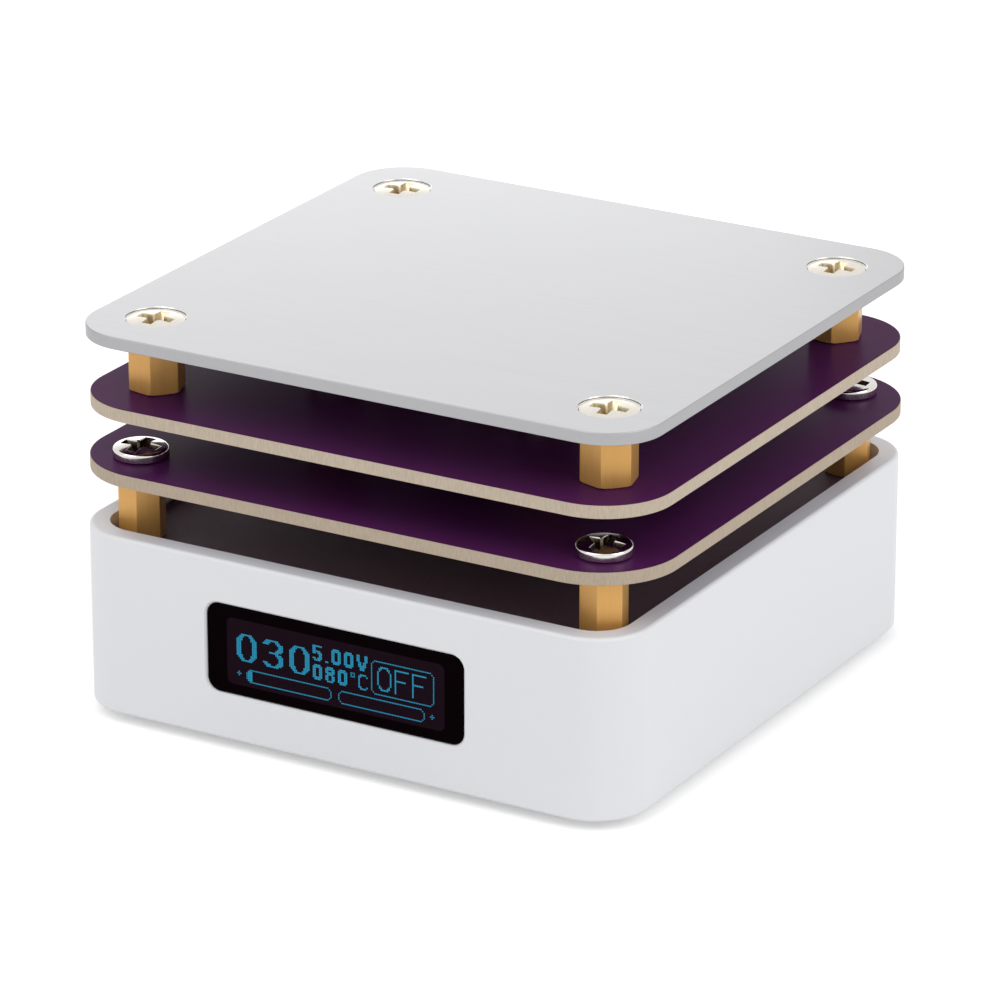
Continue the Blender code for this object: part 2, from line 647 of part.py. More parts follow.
def make_casing(finish):
    """Moulded casing: four walls, four corner blocks with bores, and openings in the walls."""
    pocket = rectangle(INNER_WIDTH, INNER_DEPTH, INNER_CORNER_RADIUS, CORNER_STEPS)
    between = notched(
        -INNER_WIDTH / 2, INNER_WIDTH / 2, -INNER_DEPTH / 2, INNER_DEPTH / 2,
        BLOCK_X, BLOCK_Y, CORNER_BLOCK_ROUND,
    )
    body = boolean(casing_shell(), loft([(pocket, BLOCK_TOP), (pocket, RIM + OVERSHOOT)]))
    body = boolean(body, loft([(pocket, CASING_BOTTOM - OVERSHOOT), (pocket, BLOCK_BOTTOM)]))
    body = boolean(body, loft([(between, BLOCK_BOTTOM - OVERSHOOT), (between, BLOCK_TOP + OVERSHOOT)]))
    body = boolean(body, wall_openings())
    bore = LOWER_SCREW_RADIUS + BORE_CLEARANCE
    stud_end = BLOCK_TOP - STUD_REACH - BORE_RUNOUT
    body = boolean(body, holes(corners_of(LOWER_POST), bore, stud_end, BLOCK_TOP + OVERSHOOT))
    screw_end = CASING_BOTTOM + BASE_SCREW_LENGTH + BORE_RUNOUT
    body = boolean(body, holes(corners_of(BASE_SCREW), bore, BLOCK_BOTTOM - OVERSHOOT, screw_end))
    place_piece("casing", mesh_of("casing", body), finish["white"])


def make_display(finish):
    """Window pane with a flange behind the wall, the panel behind it and the panel's flex tail."""
    pane_width = WINDOW_WIDTH - 2 * WINDOW_CLEARANCE
    pane_height = WINDOW_HEIGHT - 2 * WINDOW_CLEARANCE
    pane = rectangle(pane_width, pane_height, WINDOW_CORNER_RADIUS - WINDOW_CLEARANCE)
    flange_width = WINDOW_WIDTH + 2 * WINDOW_FLANGE
    flange_height = WINDOW_HEIGHT + 2 * WINDOW_FLANGE
    flange = rectangle(flange_width, flange_height, WINDOW_CORNER_RADIUS)
    behind = -CASING_WALL - SEAT_GAP
    back = behind - WINDOW_FLANGE_THICKNESS
    window = loft([(flange, back), (flange, behind), (pane, behind), (pane, 0)])
    facing = upright(FRONT)
    middle = Vector((WINDOW_OFFSET_X, -CASING_DEPTH / 2, WINDOW_MIDDLE))
    mesh = mesh_of("display_window", window)
    place_piece("display_window", mesh, finish["gloss_black"], middle, facing)
    width, height = WINDOW_WIDTH + 2 * PANEL_REACH, WINDOW_HEIGHT + 2 * PANEL_REACH
    glass = rectangle(width, height, PANEL_CORNER_RADIUS)
    panel = loft([(glass, -PANEL_THICKNESS), (glass, 0)])
    place = Vector((WINDOW_OFFSET_X, PANEL_FRONT_Y, WINDOW_MIDDLE))
    place_piece("display_panel", mesh_of("display_panel", panel), finish["display"], place, facing)
    bend = FLEX_BEND_RADIUS
    sides = []
    for offset in (0, FLEX_THICKNESS):
        side = [Vector((offset, 2 * bend))]
        for step in range(FLEX_STEPS + 1):
            angle = step / FLEX_STEPS * math.pi / 2
            radius = bend - offset
            side.append(Vector((bend - radius * math.cos(angle), bend - radius * math.sin(angle))))
        side.append(Vector((bend + FLEX_LANDING, offset)))
        sides.append(side)
    strip = sides[0] + sides[1][::-1]
    flex = loft([(strip, -FLEX_WIDTH / 2), (strip, FLEX_WIDTH / 2)])
    corner = Vector((WINDOW_OFFSET_X, PANEL_BACK_Y + SEAT_GAP, PARTS_LEVEL))
    place_piece("display_flex", mesh_of("display_flex", flex), finish["amber"], corner, upright(RIGHT))


def make_buttons(finish):
    """Two buttons in the left wall. Each cap and the plunger behind it slide on one axis."""
    outline = rectangle(BUTTON_LENGTH, BUTTON_HEIGHT, BUTTON_HEIGHT)
    flange_size = (BUTTON_LENGTH + 2 * BUTTON_FLANGE, BUTTON_HEIGHT + 2 * BUTTON_FLANGE)
    flange = rectangle(*flange_size, flange_size[1])
    behind = -CASING_WALL - SEAT_GAP
    sections = [(flange, behind - BUTTON_FLANGE_THICKNESS), (flange, behind), (outline, behind)]
    for step in range(EDGE_STEPS + 1):
        angle = step / EDGE_STEPS * math.pi / 2
        inset = BUTTON_EDGE_ROUND * (1 - math.cos(angle))
        height = BUTTON_PROUD - BUTTON_EDGE_ROUND * (1 - math.sin(angle))
        rounded = rectangle(BUTTON_LENGTH - 2 * inset, BUTTON_HEIGHT - 2 * inset, BUTTON_HEIGHT)
        sections.append((rounded, height))
    cap = mesh_of("button_cap", loft(sections))
    bore = circle(PLUNGER_RADIUS + BORE_CLEARANCE)
    box = rectangle(SWITCH_WIDTH, SWITCH_HEIGHT, SWITCH_CORNER_RADIUS)
    well_floor = -PLUNGER_SEATED - BUTTON_TRAVEL - HOLE_CLEARANCE
    well = loft([(bore, well_floor), (bore, OVERSHOOT)])
    switch = mesh_of("switch_body", boolean(loft([(box, -SWITCH_DEPTH), (box, 0)]), well))
    rod = circle(PLUNGER_RADIUS)
    plunger = mesh_of("switch_plunger", loft([(rod, -PLUNGER_SEATED), (rod, PLUNGER_PROUD)]))
    facing = upright(LEFT)
    for name, middle in button_places().items():
        axis = bpy.data.objects.new(f"button_{name}_axis", None)
        axis.location = middle
        bpy.context.scene.collection.objects.link(axis)
        wall = Vector((-CASING_WIDTH / 2, 0, 0))
        face = Vector((SWITCH_FACE_X, 0, 0))
        place_piece(f"button_cap_{name}", cap, finish["grey"], wall, facing, axis)
        place_piece(f"switch_plunger_{name}", plunger, finish["charcoal"], face, facing, axis)
        place_piece(f"switch_body_{name}", switch, finish["charcoal"], middle + face, facing)


def make_socket(finish):
    """Power socket: a thin obround shell with a tongue, its mouth in the back wall."""
    shell = rectangle(SOCKET_WIDTH, SOCKET_HEIGHT, SOCKET_HEIGHT)
    hollow_size = (SOCKET_WIDTH - 2 * SOCKET_SHELL, SOCKET_HEIGHT - 2 * SOCKET_SHELL)
    hollow = rectangle(*hollow_size, hollow_size[1])
    floor = SOCKET_BACK_WALL - SOCKET_LENGTH
    body = loft([(shell, -SOCKET_LENGTH), (shell, 0), (hollow, 0), (hollow, floor)])
    tongue = rectangle(TONGUE_WIDTH, TONGUE_THICKNESS, TONGUE_EDGE_RADIUS)
    root = floor - SOCKET_BACK_WALL / 2
    body = boolean(body, loft([(tongue, root), (tongue, -TONGUE_SETBACK)]), "UNION")
    mouth = Vector((0, CASING_DEPTH / 2 - SOCKET_RECESS, SOCKET_MIDDLE))
    place_piece("power_socket", mesh_of("power_socket", body), finish["nickel"], mouth, upright(BACK))


def make_base(finish):
    """Base cover with board posts, its screws and the feet."""
    cover = rectangle(
        INNER_WIDTH - 2 * CAVITY_CLEARANCE, INNER_DEPTH - 2 * CAVITY_CLEARANCE,
        INNER_CORNER_RADIUS - CAVITY_CLEARANCE, CORNER_STEPS,
    )
    body = loft([(cover, CASING_BOTTOM), (cover, BASE_TOP)])
    post_top = CONTROLLER_BOTTOM - SEAT_GAP
    posts = holes(corners_of(CONTROLLER_POST), CONTROLLER_POST_RADIUS, BASE_TOP - OVERSHOOT, post_top)
    body = boolean(body, posts, "UNION")
    pinned = [place for place in corners_of(CONTROLLER_POST) if place[0] * place[1] < 0]
    screwed = [place for place in corners_of(CONTROLLER_POST) if place[0] * place[1] > 0]
    pins = holes(pinned, CONTROLLER_SCREW_RADIUS, post_top - OVERSHOOT, CONTROLLER_TOP + PIN_PROUD)
    body = boolean(body, pins, "UNION")
    bore = CONTROLLER_SCREW_RADIUS + BORE_CLEARANCE
    bottom = CONTROLLER_BOTTOM - CONTROLLER_SCREW_GRIP - BORE_RUNOUT
    tool = holes(screwed, bore, bottom, post_top + OVERSHOOT)
    mouth = BASE_SCREW_HEAD_RADIUS + HOLE_CLEARANCE
    neck = LOWER_SCREW_RADIUS + HOLE_CLEARANCE
    lip = HEAD_LIP_SHARE * BASE_SCREW_HEAD_DEPTH
    for x, y in corners_of(BASE_SCREW):
        add_loft(tool, [
            (circle(mouth), CASING_BOTTOM - OVERSHOOT),
            (circle(mouth), CASING_BOTTOM + lip),
            (circle(neck), CASING_BOTTOM + BASE_SCREW_HEAD_DEPTH),
            (circle(neck), BASE_TOP + OVERSHOOT),
        ], Matrix.Translation((x, y, 0)))
    well = circle(FOOT_RADIUS + HOLE_CLEARANCE, HEAD_SIDES)
    top = CASING_BOTTOM + FOOT_SUNK + SEAT_GAP
    for x, y in corners_of(FOOT):
        add_loft(tool, [(well, CASING_BOTTOM - OVERSHOOT), (well, top)], Matrix.Translation((x, y, 0)))
    place_piece("base_cover", mesh_of("base_cover", boolean(body, tool)), finish["white"])
    screw = mesh_of("base_screw", countersunk_screw(
        LOWER_SCREW_RADIUS, BASE_SCREW_HEAD_RADIUS, BASE_SCREW_HEAD_DEPTH, BASE_SCREW_LENGTH, ROUND_SIDES
    ))
    head_down = Matrix.Rotation(math.pi, 4, "X")
    for corner, (side_x, side_y) in CORNERS.items():
        location = (side_x * BASE_SCREW[0], side_y * BASE_SCREW[1], CASING_BOTTOM)
        place_piece(f"base_screw_{corner}", screw, finish["nickel"], location, head_down)
    foot = mesh_of("foot", loft([
        (circle(FOOT_RADIUS - FOOT_EDGE_BREAK, HEAD_SIDES), 0),
        (circle(FOOT_RADIUS, HEAD_SIDES), FOOT_EDGE_BREAK),
        (circle(FOOT_RADIUS, HEAD_SIDES), FOOT_PROUD + FOOT_SUNK),
    ]))
    at_corners("foot", foot, finish["rubber"], FOOT, 0)


def chip():
    """Square chip with a comb of legs on each side, standing on height 0."""
    root = CHIP_SIZE / 2 - CHIP_LEG_ROOT
    reach = CHIP_SIZE / 2 + CHIP_LEG_REACH
    side = [Vector((root, -root))]
    for index in range(CHIP_LEGS_PER_SIDE):
        middle = (index - (CHIP_LEGS_PER_SIDE - 1) / 2) * CHIP_LEG_PITCH
        low, high = middle - CHIP_LEG_WIDTH / 2, middle + CHIP_LEG_WIDTH / 2
        side += [Vector((root, low)), Vector((reach, low)), Vector((reach, high)), Vector((root, high))]
    comb = [Matrix.Rotation(turn * math.pi / 2, 2) @ point for turn in range(4) for point in side]
    legs = loft([(comb, 0), (comb, CHIP_LEG_THICKNESS)])
    body = rectangle(CHIP_SIZE, CHIP_SIZE, CHIP_CORNER, 1)
    top_size = CHIP_SIZE - 2 * CHIP_TOP_INSET
    top = rectangle(top_size, top_size, CHIP_CORNER, 1)
    block = loft([(body, CHIP_LEG_THICKNESS / 2), (body, CHIP_THICKNESS / 2), (top, CHIP_THICKNESS)])
    return boolean(legs, block, "UNION")


def make_controller(finish):
    """Controller board, its two screws and the parts on it."""
    edge = CONTROLLER_EDGE_GAP
    outline = notched(
        SWITCH_FACE_X, -SWITCH_FACE_X, PANEL_BACK_Y + edge, INNER_DEPTH / 2 - edge,
        BLOCK_X - edge, BLOCK_Y - edge, CORNER_BLOCK_ROUND,
    )
    body = loft([(outline, CONTROLLER_BOTTOM), (outline, CONTROLLER_TOP)])
    tool = holes(
        corners_of(CONTROLLER_POST), CONTROLLER_SCREW_RADIUS + HOLE_CLEARANCE,
        CONTROLLER_BOTTOM - OVERSHOOT, CONTROLLER_TOP + OVERSHOOT,
    )
    place_piece("controller_board", mesh_of("controller_board", boolean(body, tool)), finish["green"])
    length = CONTROLLER_THICKNESS + SEAT_GAP + CONTROLLER_SCREW_GRIP
    screw = mesh_of("controller_screw", pan_screw(
        CONTROLLER_SCREW_RADIUS, CONTROLLER_SCREW_HEAD_RADIUS, CONTROLLER_SCREW_HEAD_HEIGHT, length,
        ROUND_SIDES,
    ))
    for name, side in (("front", -1), ("back", 1)):
        location = (side * CONTROLLER_POST[0], side * CONTROLLER_POST[1], PARTS_LEVEL)
        place_piece(f"controller_screw_{name}", screw, finish["nickel"], location)
    place = (CHIP_X, CHIP_Y, PARTS_LEVEL)
    place_piece("microcontroller", mesh_of("microcontroller", chip()), finish["charcoal"], place)
    case = rectangle(TRANSISTOR_WIDTH, TRANSISTOR_DEPTH, TRANSISTOR_CORNER, 1)
    tab_depth = TRANSISTOR_DEPTH + 2 * TRANSISTOR_TAB_REACH
    tab = rectangle(TRANSISTOR_TAB_WIDTH, tab_depth, TRANSISTOR_CORNER, 1)
    tab_solid = loft([(tab, TRANSISTOR_TAB_LIFT), (tab, TRANSISTOR_TAB_THICKNESS)])
    transistor = boolean(loft([(case, 0), (case, TRANSISTOR_THICKNESS)]), tab_solid, "UNION")
    place = (TRANSISTOR_X, TRANSISTOR_Y, PARTS_LEVEL)
    place_piece("power_transistor", mesh_of("power_transistor", transistor), finish["charcoal"], place)
    core = rectangle(INDUCTOR_SIZE, INDUCTOR_SIZE, INDUCTOR_CORNER_RADIUS)
    lid_size = INDUCTOR_SIZE - 2 * INDUCTOR_TOP_ROUND
    lid = rectangle(lid_size, lid_size, INDUCTOR_CORNER_RADIUS)
    inductor = loft([(core, 0), (core, INDUCTOR_HEIGHT - INDUCTOR_TOP_ROUND), (lid, INDUCTOR_HEIGHT)])
    place = (INDUCTOR_X, INDUCTOR_Y, PARTS_LEVEL)
    place_piece("inductor", mesh_of("inductor", inductor), finish["charcoal"], place)
    block = rectangle(CONNECTOR_WIDTH, CONNECTOR_DEPTH, CONNECTOR_CORNER, 1)
    wells = holes(
        [(index * LEAD_SPACING, 0) for index in (-1, 0, 1)], HEATER_LEAD_RADIUS + HOLE_CLEARANCE,
        CONNECTOR_HEIGHT - WELL_DEPTH, CONNECTOR_HEIGHT + OVERSHOOT,
    )
    connector = boolean(loft([(block, 0), (block, CONNECTOR_HEIGHT)]), wells)
    place = (0, LEAD_END_Y, PARTS_LEVEL)
    place_piece("lead_connector", mesh_of("lead_connector", connector), finish["white"], place)


def make_lead(name, x, top, radius, finish):
    """A lead from under the plate down through the boards into the connector."""
    bottom = PARTS_LEVEL + CONNECTOR_HEIGHT - WELL_DEPTH + SEAT_GAP
    curve = bpy.data.curves.new(name, "CURVE")
    curve.dimensions = "3D"
    curve.bevel_depth = radius
    curve.bevel_resolution = 2
    curve.use_fill_caps = True
    spline = curve.splines.new("POLY")
    spline.points.add(LEAD_POINTS - 1)
    for index in range(LEAD_POINTS):
        along = index / (LEAD_POINTS - 1)
        blend = (along - LEAD_STRAIGHT_SHARE) / (1 - 2 * LEAD_STRAIGHT_SHARE)
        blend = min(max(blend, 0), 1)
        ease = blend * blend * (3 - 2 * blend)
        y = LEAD_TOP_Y + (LEAD_END_Y - LEAD_TOP_Y) * ease
        spline.points[index].co = (x, y, top + (bottom - top) * along, 1)
    curve.materials.append(finish)
    bpy.context.scene.collection.objects.link(bpy.data.objects.new(name, curve))


def make_heater(finish):
    """Heater bonded under the plate, its sensor and the three leads."""
    margin = STANDOFF_CORNER_RADIUS + HEATER_MARGIN
    width, depth = 2 * (PLATE_POST[0] - margin), 2 * (PLATE_POST[1] - margin)
    outline = rectangle(width, depth, HEATER_CORNER_RADIUS)
    heater = loft([(outline, HEATER_BOTTOM), (outline, HEATER_BOTTOM + HEATER_THICKNESS)])
    place_piece("heater", mesh_of("heater", heater), finish["ceramic"])
    bead = rectangle(SENSOR_WIDTH, SENSOR_DEPTH, SENSOR_CORNER_RADIUS)
    width, depth = SENSOR_WIDTH - 2 * SENSOR_TAPER, SENSOR_DEPTH - 2 * SENSOR_TAPER
    face = rectangle(width, depth, SENSOR_CORNER_RADIUS)
    sensor = loft([(face, 0), (bead, SENSOR_TAPER), (bead, SENSOR_THICKNESS)])
    place = (0, LEAD_TOP_Y, SENSOR_BOTTOM)
    place_piece("temperature_sensor", mesh_of("temperature_sensor", sensor), finish["amber"], place)
    top = HEATER_BOTTOM - SEAT_GAP
    for side, x in (("left", -LEAD_SPACING), ("right", LEAD_SPACING)):
        make_lead(f"heater_lead_{side}", x, top, HEATER_LEAD_RADIUS, finish["sleeve"])
    make_lead("sensor_lead", 0, SENSOR_BOTTOM - SEAT_GAP, SENSOR_LEAD_RADIUS, finish["sleeve"])


def main():
    for item in list(bpy.data.objects):
        bpy.data.objects.remove(item)
    finish = {
        "aluminium": material("brushed aluminium", (0.68, 0.68, 0.69), 0.38, 1.0),
        "nickel": material("nickel-plated steel", (0.62, 0.60, 0.56), 0.25, 1.0),
        "brass": material("brass", (0.55, 0.36, 0.12), 0.30, 1.0),
        "purple": material("purple board", (0.040, 0.010, 0.050), 0.30),
        "charcoal": material("black plastic", (0.016, 0.013, 0.014), 0.60),
        "white": material("white plastic", (0.78, 0.78, 0.80), 0.45),
        "grey": material("grey plastic", (0.35, 0.35, 0.37), 0.50),
        "gloss_black": material("window acrylic", (0.003, 0.002, 0.003), 0.06),
        "display": material("display glass", (0.012, 0.006, 0.010), 0.10),
        "amber": material("amber film", (0.45, 0.20, 0.04), 0.40),
        "green": material("green board", (0.01, 0.10, 0.04), 0.40),
        "ceramic": material("heater ceramic", (0.55, 0.52, 0.46), 0.60),
        "sleeve": material("lead sleeve", (0.60, 0.10, 0.05), 0.55),
        "rubber": material("foot rubber", (0.02, 0.02, 0.02), 0.85),
    }
    make_plate_stack(finish)
    make_heater(finish)
    make_boards(finish)
    make_casing(finish)
    make_display(finish)
    make_buttons(finish)
    make_socket(finish)
    make_controller(finish)
    make_base(finish)


main()
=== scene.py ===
import json
import math

import bmesh
import bpy
from mathutils import Matrix, Vector


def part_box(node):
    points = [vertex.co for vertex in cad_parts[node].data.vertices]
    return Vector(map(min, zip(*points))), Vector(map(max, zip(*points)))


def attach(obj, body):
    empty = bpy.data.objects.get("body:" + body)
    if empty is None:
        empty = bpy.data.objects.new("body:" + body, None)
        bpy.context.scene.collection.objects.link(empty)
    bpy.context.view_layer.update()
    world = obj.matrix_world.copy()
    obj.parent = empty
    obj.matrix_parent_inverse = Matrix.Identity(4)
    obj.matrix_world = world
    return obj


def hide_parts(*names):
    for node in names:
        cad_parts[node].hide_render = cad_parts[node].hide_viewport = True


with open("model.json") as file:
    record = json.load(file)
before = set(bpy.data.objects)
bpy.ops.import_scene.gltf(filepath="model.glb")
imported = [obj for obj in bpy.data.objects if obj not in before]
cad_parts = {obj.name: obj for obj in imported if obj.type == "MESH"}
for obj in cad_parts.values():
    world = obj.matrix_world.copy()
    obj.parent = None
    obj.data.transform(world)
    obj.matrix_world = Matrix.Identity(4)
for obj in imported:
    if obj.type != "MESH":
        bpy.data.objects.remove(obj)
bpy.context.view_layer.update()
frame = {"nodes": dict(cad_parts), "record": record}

# Small square hot plate for preheating circuit boards, dressed for a studio picture.
# Sizes are in metres, turns in degrees, and +Z is up. The display faces -Y, and the origin is the CAD's.

CORNERS = ("front_left", "front_right", "back_right", "back_left")
QUARTERS = ((1, 1), (-1, 1), (-1, -1), (1, -1))

# Plate and boards
PLATE_CORNER_RADIUS = 0.0058
PLATE_EDGE_ROUND = 0.00012
SINK_MOUTH_RADIUS = 0.00305
SINK_EDGE_ROUND = 0.00005
SINK_NECK_RADIUS = 0.00185
SINK_LIP_SHARE = 0.2
LEVEL_FACE = 0.9
UPPER_BOARD_CORNER_RADIUS = 0.0073
LOWER_BOARD_CORNER_RADIUS = 0.0082
MASK_INSET = 0.00005
MASK_DEPTH = 0.00005
SHANK_HOLE_RADIUS = 0.00235
SCREW_HOLE_RADIUS = 0.0017
LOWER_SCREW_HOLE_RADIUS = 0.00145
LEAD_SLOT_WIDTH = 0.0120
LEAD_SLOT_DEPTH = 0.0044
LEAD_SLOT_Y = 0.0050

# Screws
SCREW_RADIUS = 0.0015
LOWER_SCREW_RADIUS = 0.00125
TIP_SHARE = 0.3
FLAT_HEAD_RADIUS = 0.0029
FLAT_HEAD_DEPTH = 0.0010
FLAT_SCREW_LENGTH = 0.0060
FLAT_CROWN = 0.00016
RIM_INNER_SHARE = 0.985
RIM_TOP_SHARE = 0.20
RIM_FOOT_SHARE = 0.24
RIM_DROP = 0.00002
PAN_HEAD_RADIUS = 0.0028
PAN_HEAD_HEIGHT = 0.0012
PAN_SCREW_REACH = 0.0040
PAN_SHOULDER = 0.00035
PAN_CROWN = 0.00020
PAN_FOOT_ROUND = 0.00006
BASE_HEAD_RADIUS = 0.0023
BASE_HEAD_DEPTH = 0.0011
BASE_CROWN = 0.00008
SCREW_EDGE_ROUND = 0.00003
PLATE_SCREW_TURNS = (2, 5, 1, 4)
LOWER_SCREW_TURNS = (3, 0, 5, 2)

# Size and place of a cross recess in its head, as shares of the head's diameter, radius, crown and height
FLAT_RECESS_SHARE = 0.62
PAN_RECESS_SHARE = 0.72
RECESS_DEPTH_SHARE = 0.44
FLAT_RECESS_TOP_SHARE = 0.3
PAN_RECESS_TOP_SHARE = 0.97

# Shape of a cross recess, as shares of its span across and of its depth
ARM_FLOOR_SPAN = 0.50
ARM_FLOOR_WIDTH = 0.22
ARM_BROW_SPAN = 0.97
ARM_BROW_WIDTH = 0.28
ARM_MOUTH_SPAN = 1.16
ARM_MOUTH_WIDTH = 0.34
ARM_BROW_DEPTH = 0.12
ARM_INNER_CORNER = 1.35
CONE_TIP_RADIUS = 0.04
CONE_TIP_DEPTH = 1.25
CONE_WAIST_RADIUS = 0.20
CONE_WAIST_DEPTH = 0.35
CONE_MOUTH_RADIUS = 0.24
CONE_SIDES = 24

# Where a head's faces count as its recess, whose colour is painted shade
RECESS_REACH_SHARE = 0.56
RECESS_SKIN = 0.00003
FLAT_RECESS_FLOOR = -0.0018
PAN_RECESS_FLOOR = -0.0005

# Standoffs
UPPER_FLATS = 0.0050
LOWER_FLATS = 0.0042
SHANK_RADIUS = 0.00215
BORE_RADIUS = 0.00165
LOWER_BORE_RADIUS = 0.0014
UPPER_HEX_LENGTH = 0.0058
INNER_HEX_LENGTH = 0.0050
LOWER_HEX_LENGTH = 0.00685
UPPER_BORE_DEPTH = 0.0052
BORE_DEPTH = 0.0045
STUD_LENGTH = 0.0059
STANDOFF_TURNS = (-11, -16, -11, -14)
STANDOFF_EDGE_ROUND = 0.00015
FACE_SHARE = 0.97
LATHE_CLEARANCE = 0.0002
TOP_CHAMFER_ANGLE = math.radians(24)
FOOT_CHAMFER_REACH = 0.00028
FOOT_CHAMFER_HEIGHT = 0.00022
TAIL_TIP_SHARE = 0.1
BORE_MOUTH_DEPTH = 0.0002
BORE_MOUTH_FLARE = 0.00025
BORE_MOUTH_RISE = 0.00005

# Casing and feet
CASING_CORNER_RADIUS = 0.0057
CASING_WALL = 0.0020
CASING_EDGE_ROUND = 0.0004
BLOCK_X = 0.0227
BLOCK_Y = 0.0222
BLOCK_TOP = 0.01655
BLOCK_BOTTOM = 0.0027
BLOCK_ROUND = 0.0020
STUD_END = 0.01155
BASE_SCREW_END = 0.0075
MOUTH_FLARE = 0.00022
FOOT_EDGE_ROUND = 0.0003
SOLE_RING_INNER_SHARE = 0.55
SOLE_RING_OUTER_SHARE = 0.60
SOLE_RING_DEPTH = 0.00015

# Display
WINDOW_WIDTH = 0.0290
WINDOW_HEIGHT = 0.00935
WINDOW_RADIUS = 0.0014
PANE_GAP = 0.0001
PANE_SINK = 0.00005
PANE_EDGE = 0.0001
VIEW_LEFT = -0.01262
VIEW_RIGHT = 0.01192
VIEW_BOTTOM = 0.00712
VIEW_TOP = 0.01405
VIEW_RADIUS = 0.00065
LAYER = 0.00001
DOT_PITCH_X = 0.0001772
DOT_PITCH_Z = 0.000180
DOT_ROUND_SHARE = 0.1
BOLD_FILL = 0.86
THIN_FILL = 0.68
DOTS_LEFT = -0.01169
DOTS_TOP = 0.01315
STEPS_PER_DOT = 3

# Signs on the display, in dots from its top left
LARGE = {"width": 13, "height": 16, "pen": 3}
LARGE_LEFT = 1
LARGE_TOP = 3
LARGE_STEP = 17
SMALL = {"width": 6, "height": 9, "pen": 2}
SMALL_TOP = 11
SMALL_LEFT = 50
SMALL_STEP = 8
UNIT = {"width": 6, "height": 9, "pen": 1}
UNIT_LEFT = 79
RING = {"width": 3, "height": 3, "pen": 1}
RING_LEFT = 74
VOLTS = (("5", 50, 6), (".", 58, 3), ("0", 62, 6), ("0", 70, 6), ("V", 78, 7))
VOLTS_TOP = 0
WORD = {"width": 9, "height": 14, "pen": 1}
WORD_LEFT = 91
WORD_TOP = 4
WORD_STEP = 11
WORD_FRAME = (87, 1, 126, 20)
BARS = ((7, 23, 61, 30), (66, 23, 120, 30))
FRAME_CUT = 2
BAR_FILLED = 3
PLUS_LEFTS = (1, 124)
PLUS_ROW = 26

# Buttons and socket
BUTTON_LENGTH = 0.0080
BUTTON_HEIGHT = 0.0036
BUTTON_PROUD = 0.0011
BUTTON_ROUND = 0.0005
BUTTON_DOME = 0.00008
DOME_SHARES = (0.75, 0.5, 0.25)
BUTTON_GAP = 0.0002
BUTTON_FLANGE = 0.0010
BUTTON_FLANGE_THICKNESS = 0.0007
SOCKET_WIDTH = 0.0089
SOCKET_HEIGHT = 0.0032
SOCKET_GAP = 0.00025
SOCKET_SHELL = 0.0003
SOCKET_LENGTH = 0.0073
SOCKET_BACK = 0.0009
TONGUE_WIDTH = 0.0067
TONGUE_THICKNESS = 0.0007
TONGUE_ROUND = 0.0003
TONGUE_SETBACK = 0.0010
TONGUE_ROOT = 0.0002
TONGUE_TIP = 0.00015
TONGUE_TIP_NARROWING = 0.0003
TONGUE_TIP_THINNING = 0.0002
TONGUE_TIP_ROUND = 0.0002
CONTACTS = 12
CONTACT_PITCH = 0.0005
CONTACT_WIDTH = 0.00024
CONTACT_THICKNESS = 0.00006
CONTACT_ROUND = 0.00002
CONTACT_START = 0.0002
CONTACT_SETBACK = 0.0005

# Gaps, reaches, steps and angles of the meshes
SEAT_GAP = 0.0001
WELD_REACH = 0.000002
HAIR = 0.000001
OVERSHOOT = 0.0005
CORNER_STEPS = 16
SOCKET_STEPS = 12
WINDOW_STEPS = 10
OPENING_STEPS = 8
TONGUE_STEPS = 6
VIEW_STEPS = 6
ROUND_SIDES = 64
EDGE_STEPS = 4
LIP_STEPS = 8
CROWN_STEPS = 8
PAN_STEPS = 8
BUTTON_STEPS = 6
FOOT_STEPS = 5
SHARP_ANGLE = math.radians(30)
HEAD_SHARP_ANGLE = math.radians(28)
BEVEL_ANGLE = math.radians(32)
BEVEL_SEGMENTS = 2

# Materials
NOISE_ROUGHNESS = 0.6
NOISE_LOW = 0.3
NOISE_HIGH = 0.7
LEAST_ROUGHNESS = 0.02
UNLIT_SHARE = 0.06
GLOW_SWING = 0.15
MIX_FACTOR = 0
MIX_FIRST = 6
MIX_SECOND = 7
MIX_RESULT = 2

# Stage, light and camera
FLOOR_REACH = 3.0
FLOOR_CELLS = 8
FLOOR_SINK = 0.00002
FLOOR_LIFT = 0.32
FILL_STRENGTH = 0.65
WHITE = (1, 1, 1, 1)
LIGHT_TARGET = Vector((0, 0, 0.02))
CAMERA_AZIMUTH = math.radians(30.03)
CAMERA_ELEVATION = math.radians(21.10)
CAMERA_DISTANCE = 0.56555
CAMERA_LENS = 213.74
CAMERA_SENSOR = 36.0
CAMERA_NEAR = 0.01
CAMERA_FAR = 20.0
CAMERA_TARGET = Vector((0.010148, -0.018619, 0.026833))


# Outlines and solids

def spoke(length, angle):
    """Plan vector of a length at an angle."""
    return length * Vector((math.cos(angle), math.sin(angle)))


def rectangle(width, depth, radius, steps=CORNER_STEPS):
    """Outline of a rectangle with round corners, counter-clockwise about the origin."""
    radius = min(radius, width / 2 - HAIR, depth / 2 - HAIR)
    outline = []
    for quarter, (side_x, side_y) in enumerate(QUARTERS):
        centre = Vector((side_x * (width / 2 - radius), side_y * (depth / 2 - radius)))
        for step in range(steps + 1):
            angle = (quarter + step / steps) * math.pi / 2
            outline.append(centre + spoke(radius, angle))
    return outline


def set_in(width, depth, inset, radius, steps=CORNER_STEPS):
    """Outline of a rectangle that is smaller by an inset on all sides."""
    return rectangle(width - 2 * inset, depth - 2 * inset, radius, steps)


